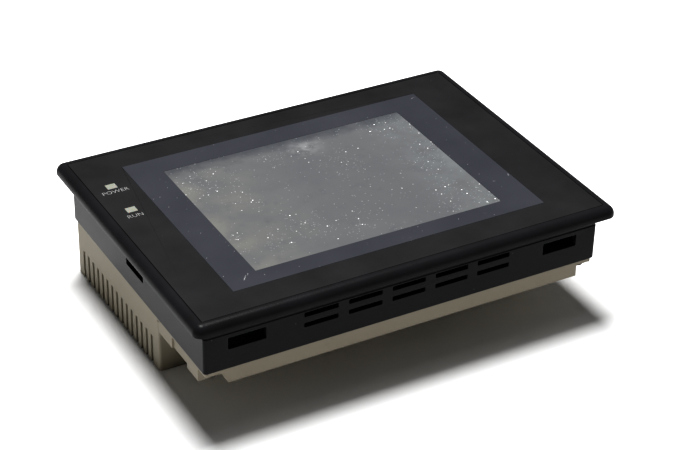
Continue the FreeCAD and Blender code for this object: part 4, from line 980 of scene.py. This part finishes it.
class TOUCHPANEL_OT_stage(bpy.types.Operator):
    """Pale floor, soft studio light and the camera"""

    bl_idname = "touchpanel.stage"
    bl_label = "Stage"

    def execute(self, context):
        scene = context.scene
        scene.view_settings.view_transform = "Standard"
        scene.view_settings.look = "High Contrast"
        self.floor()
        for lamp in LAMPS:
            self.lamp(*lamp)
        world = bpy.data.worlds.new("Studio")
        scene.world = world
        world.use_nodes = True
        surroundings = world.node_tree.nodes["Background"].inputs
        surroundings["Color"].default_value = linear("#ffffff")
        surroundings["Strength"].default_value = WORLD_STRENGTH
        camera = bpy.data.cameras.new("Camera")
        camera.lens = CAMERA_LENS
        camera.clip_start = 0.05
        camera.clip_end = 20.0
        holder = bpy.data.objects.new("Camera", camera)
        holder.location = CAMERA_AT
        holder.rotation_euler = [math.radians(a) for a in CAMERA_TURN]
        context.collection.objects.link(holder)
        scene.camera = holder
        return {"FINISHED"}

    def floor(self):
        """Wide sheet of paper just under the panel."""
        bm = bmesh.new()
        bmesh.ops.create_grid(bm, x_segments=8, y_segments=8, size=FLOOR_SIZE)
        bmesh.ops.translate(bm, vec=Vector((0.0, 0.0, REAR_FACE - FLOOR_DROP)), verts=bm.verts)
        made, tree, shader, coords = begin("Matt white paper sweep", Roughness=0.9, Specular_IOR_Level=0.1)
        tone = blended(tree, noise(tree, coords, 60.0), linear("#fafafa"), linear("#fdfdfd"))
        tree.links.new(tone, shader.inputs["Base Color"])
        mesh = bpy.data.meshes.new("floor")
        bm.to_mesh(mesh)
        bm.free()
        mesh.materials.append(made)
        plane = bpy.data.objects.new("floor", mesh)
        bpy.context.collection.objects.link(plane)

    def lamp(self, name, place, target, w, h, power):
        """Rectangular lamp that faces its target."""
        light = bpy.data.lights.new(name, "AREA")
        light.shape = "RECTANGLE"
        light.size = w
        light.size_y = h
        light.energy = power
        holder = bpy.data.objects.new(name, light)
        holder.location = place
        holder.rotation_euler = (Vector(target) - Vector(place)).to_track_quat("-Z", "Y").to_euler()
        bpy.context.collection.objects.link(holder)


class TOUCHPANEL_PT_sidebar(bpy.types.Panel):
    """Lists the operators and the sizes and colours they read"""

    bl_idname = "TOUCHPANEL_PT_sidebar"
    bl_label = "Touch Panel"
    bl_space_type = "VIEW_3D"
    bl_region_type = "UI"
    bl_category = "Touch Panel"

    def draw(self, context):
        for group in (context.scene.touch_panel_sizes, context.scene.touch_panel_colours):
            box = self.layout.box()
            for key in group.__annotations__:
                box.prop(group, key)
        for operator in OPERATORS:
            self.layout.operator(operator.bl_idname)


OPERATORS = (
    TOUCHPANEL_OT_bezel, TOUCHPANEL_OT_overlay, TOUCHPANEL_OT_touch_area, TOUCHPANEL_OT_rear_case,
    TOUCHPANEL_OT_covers, TOUCHPANEL_OT_label, TOUCHPANEL_OT_ports, TOUCHPANEL_OT_switches,
    TOUCHPANEL_OT_terminals, TOUCHPANEL_OT_fasteners, TOUCHPANEL_OT_inside, TOUCHPANEL_OT_stage,
)
CLASSES = (TouchPanelSizes, TouchPanelColours) + OPERATORS + (TOUCHPANEL_PT_sidebar,)


def register():
    """Make the classes and their settings known to Blender."""
    for cls in CLASSES:
        bpy.utils.register_class(cls)
    bpy.types.Scene.touch_panel_sizes = PointerProperty(type=TouchPanelSizes)
    bpy.types.Scene.touch_panel_colours = PointerProperty(type=TouchPanelColours)


def unregister():
    """Take them away again."""
    del bpy.types.Scene.touch_panel_colours
    del bpy.types.Scene.touch_panel_sizes
    for cls in reversed(CLASSES):
        bpy.utils.unregister_class(cls)


def main():
    """Build every group of pieces in turn."""
    register()
    for operator in OPERATORS:
        group, name = operator.bl_idname.split(".")
        getattr(getattr(bpy.ops, group), name)()


if __name__ == "__main__":
    main()
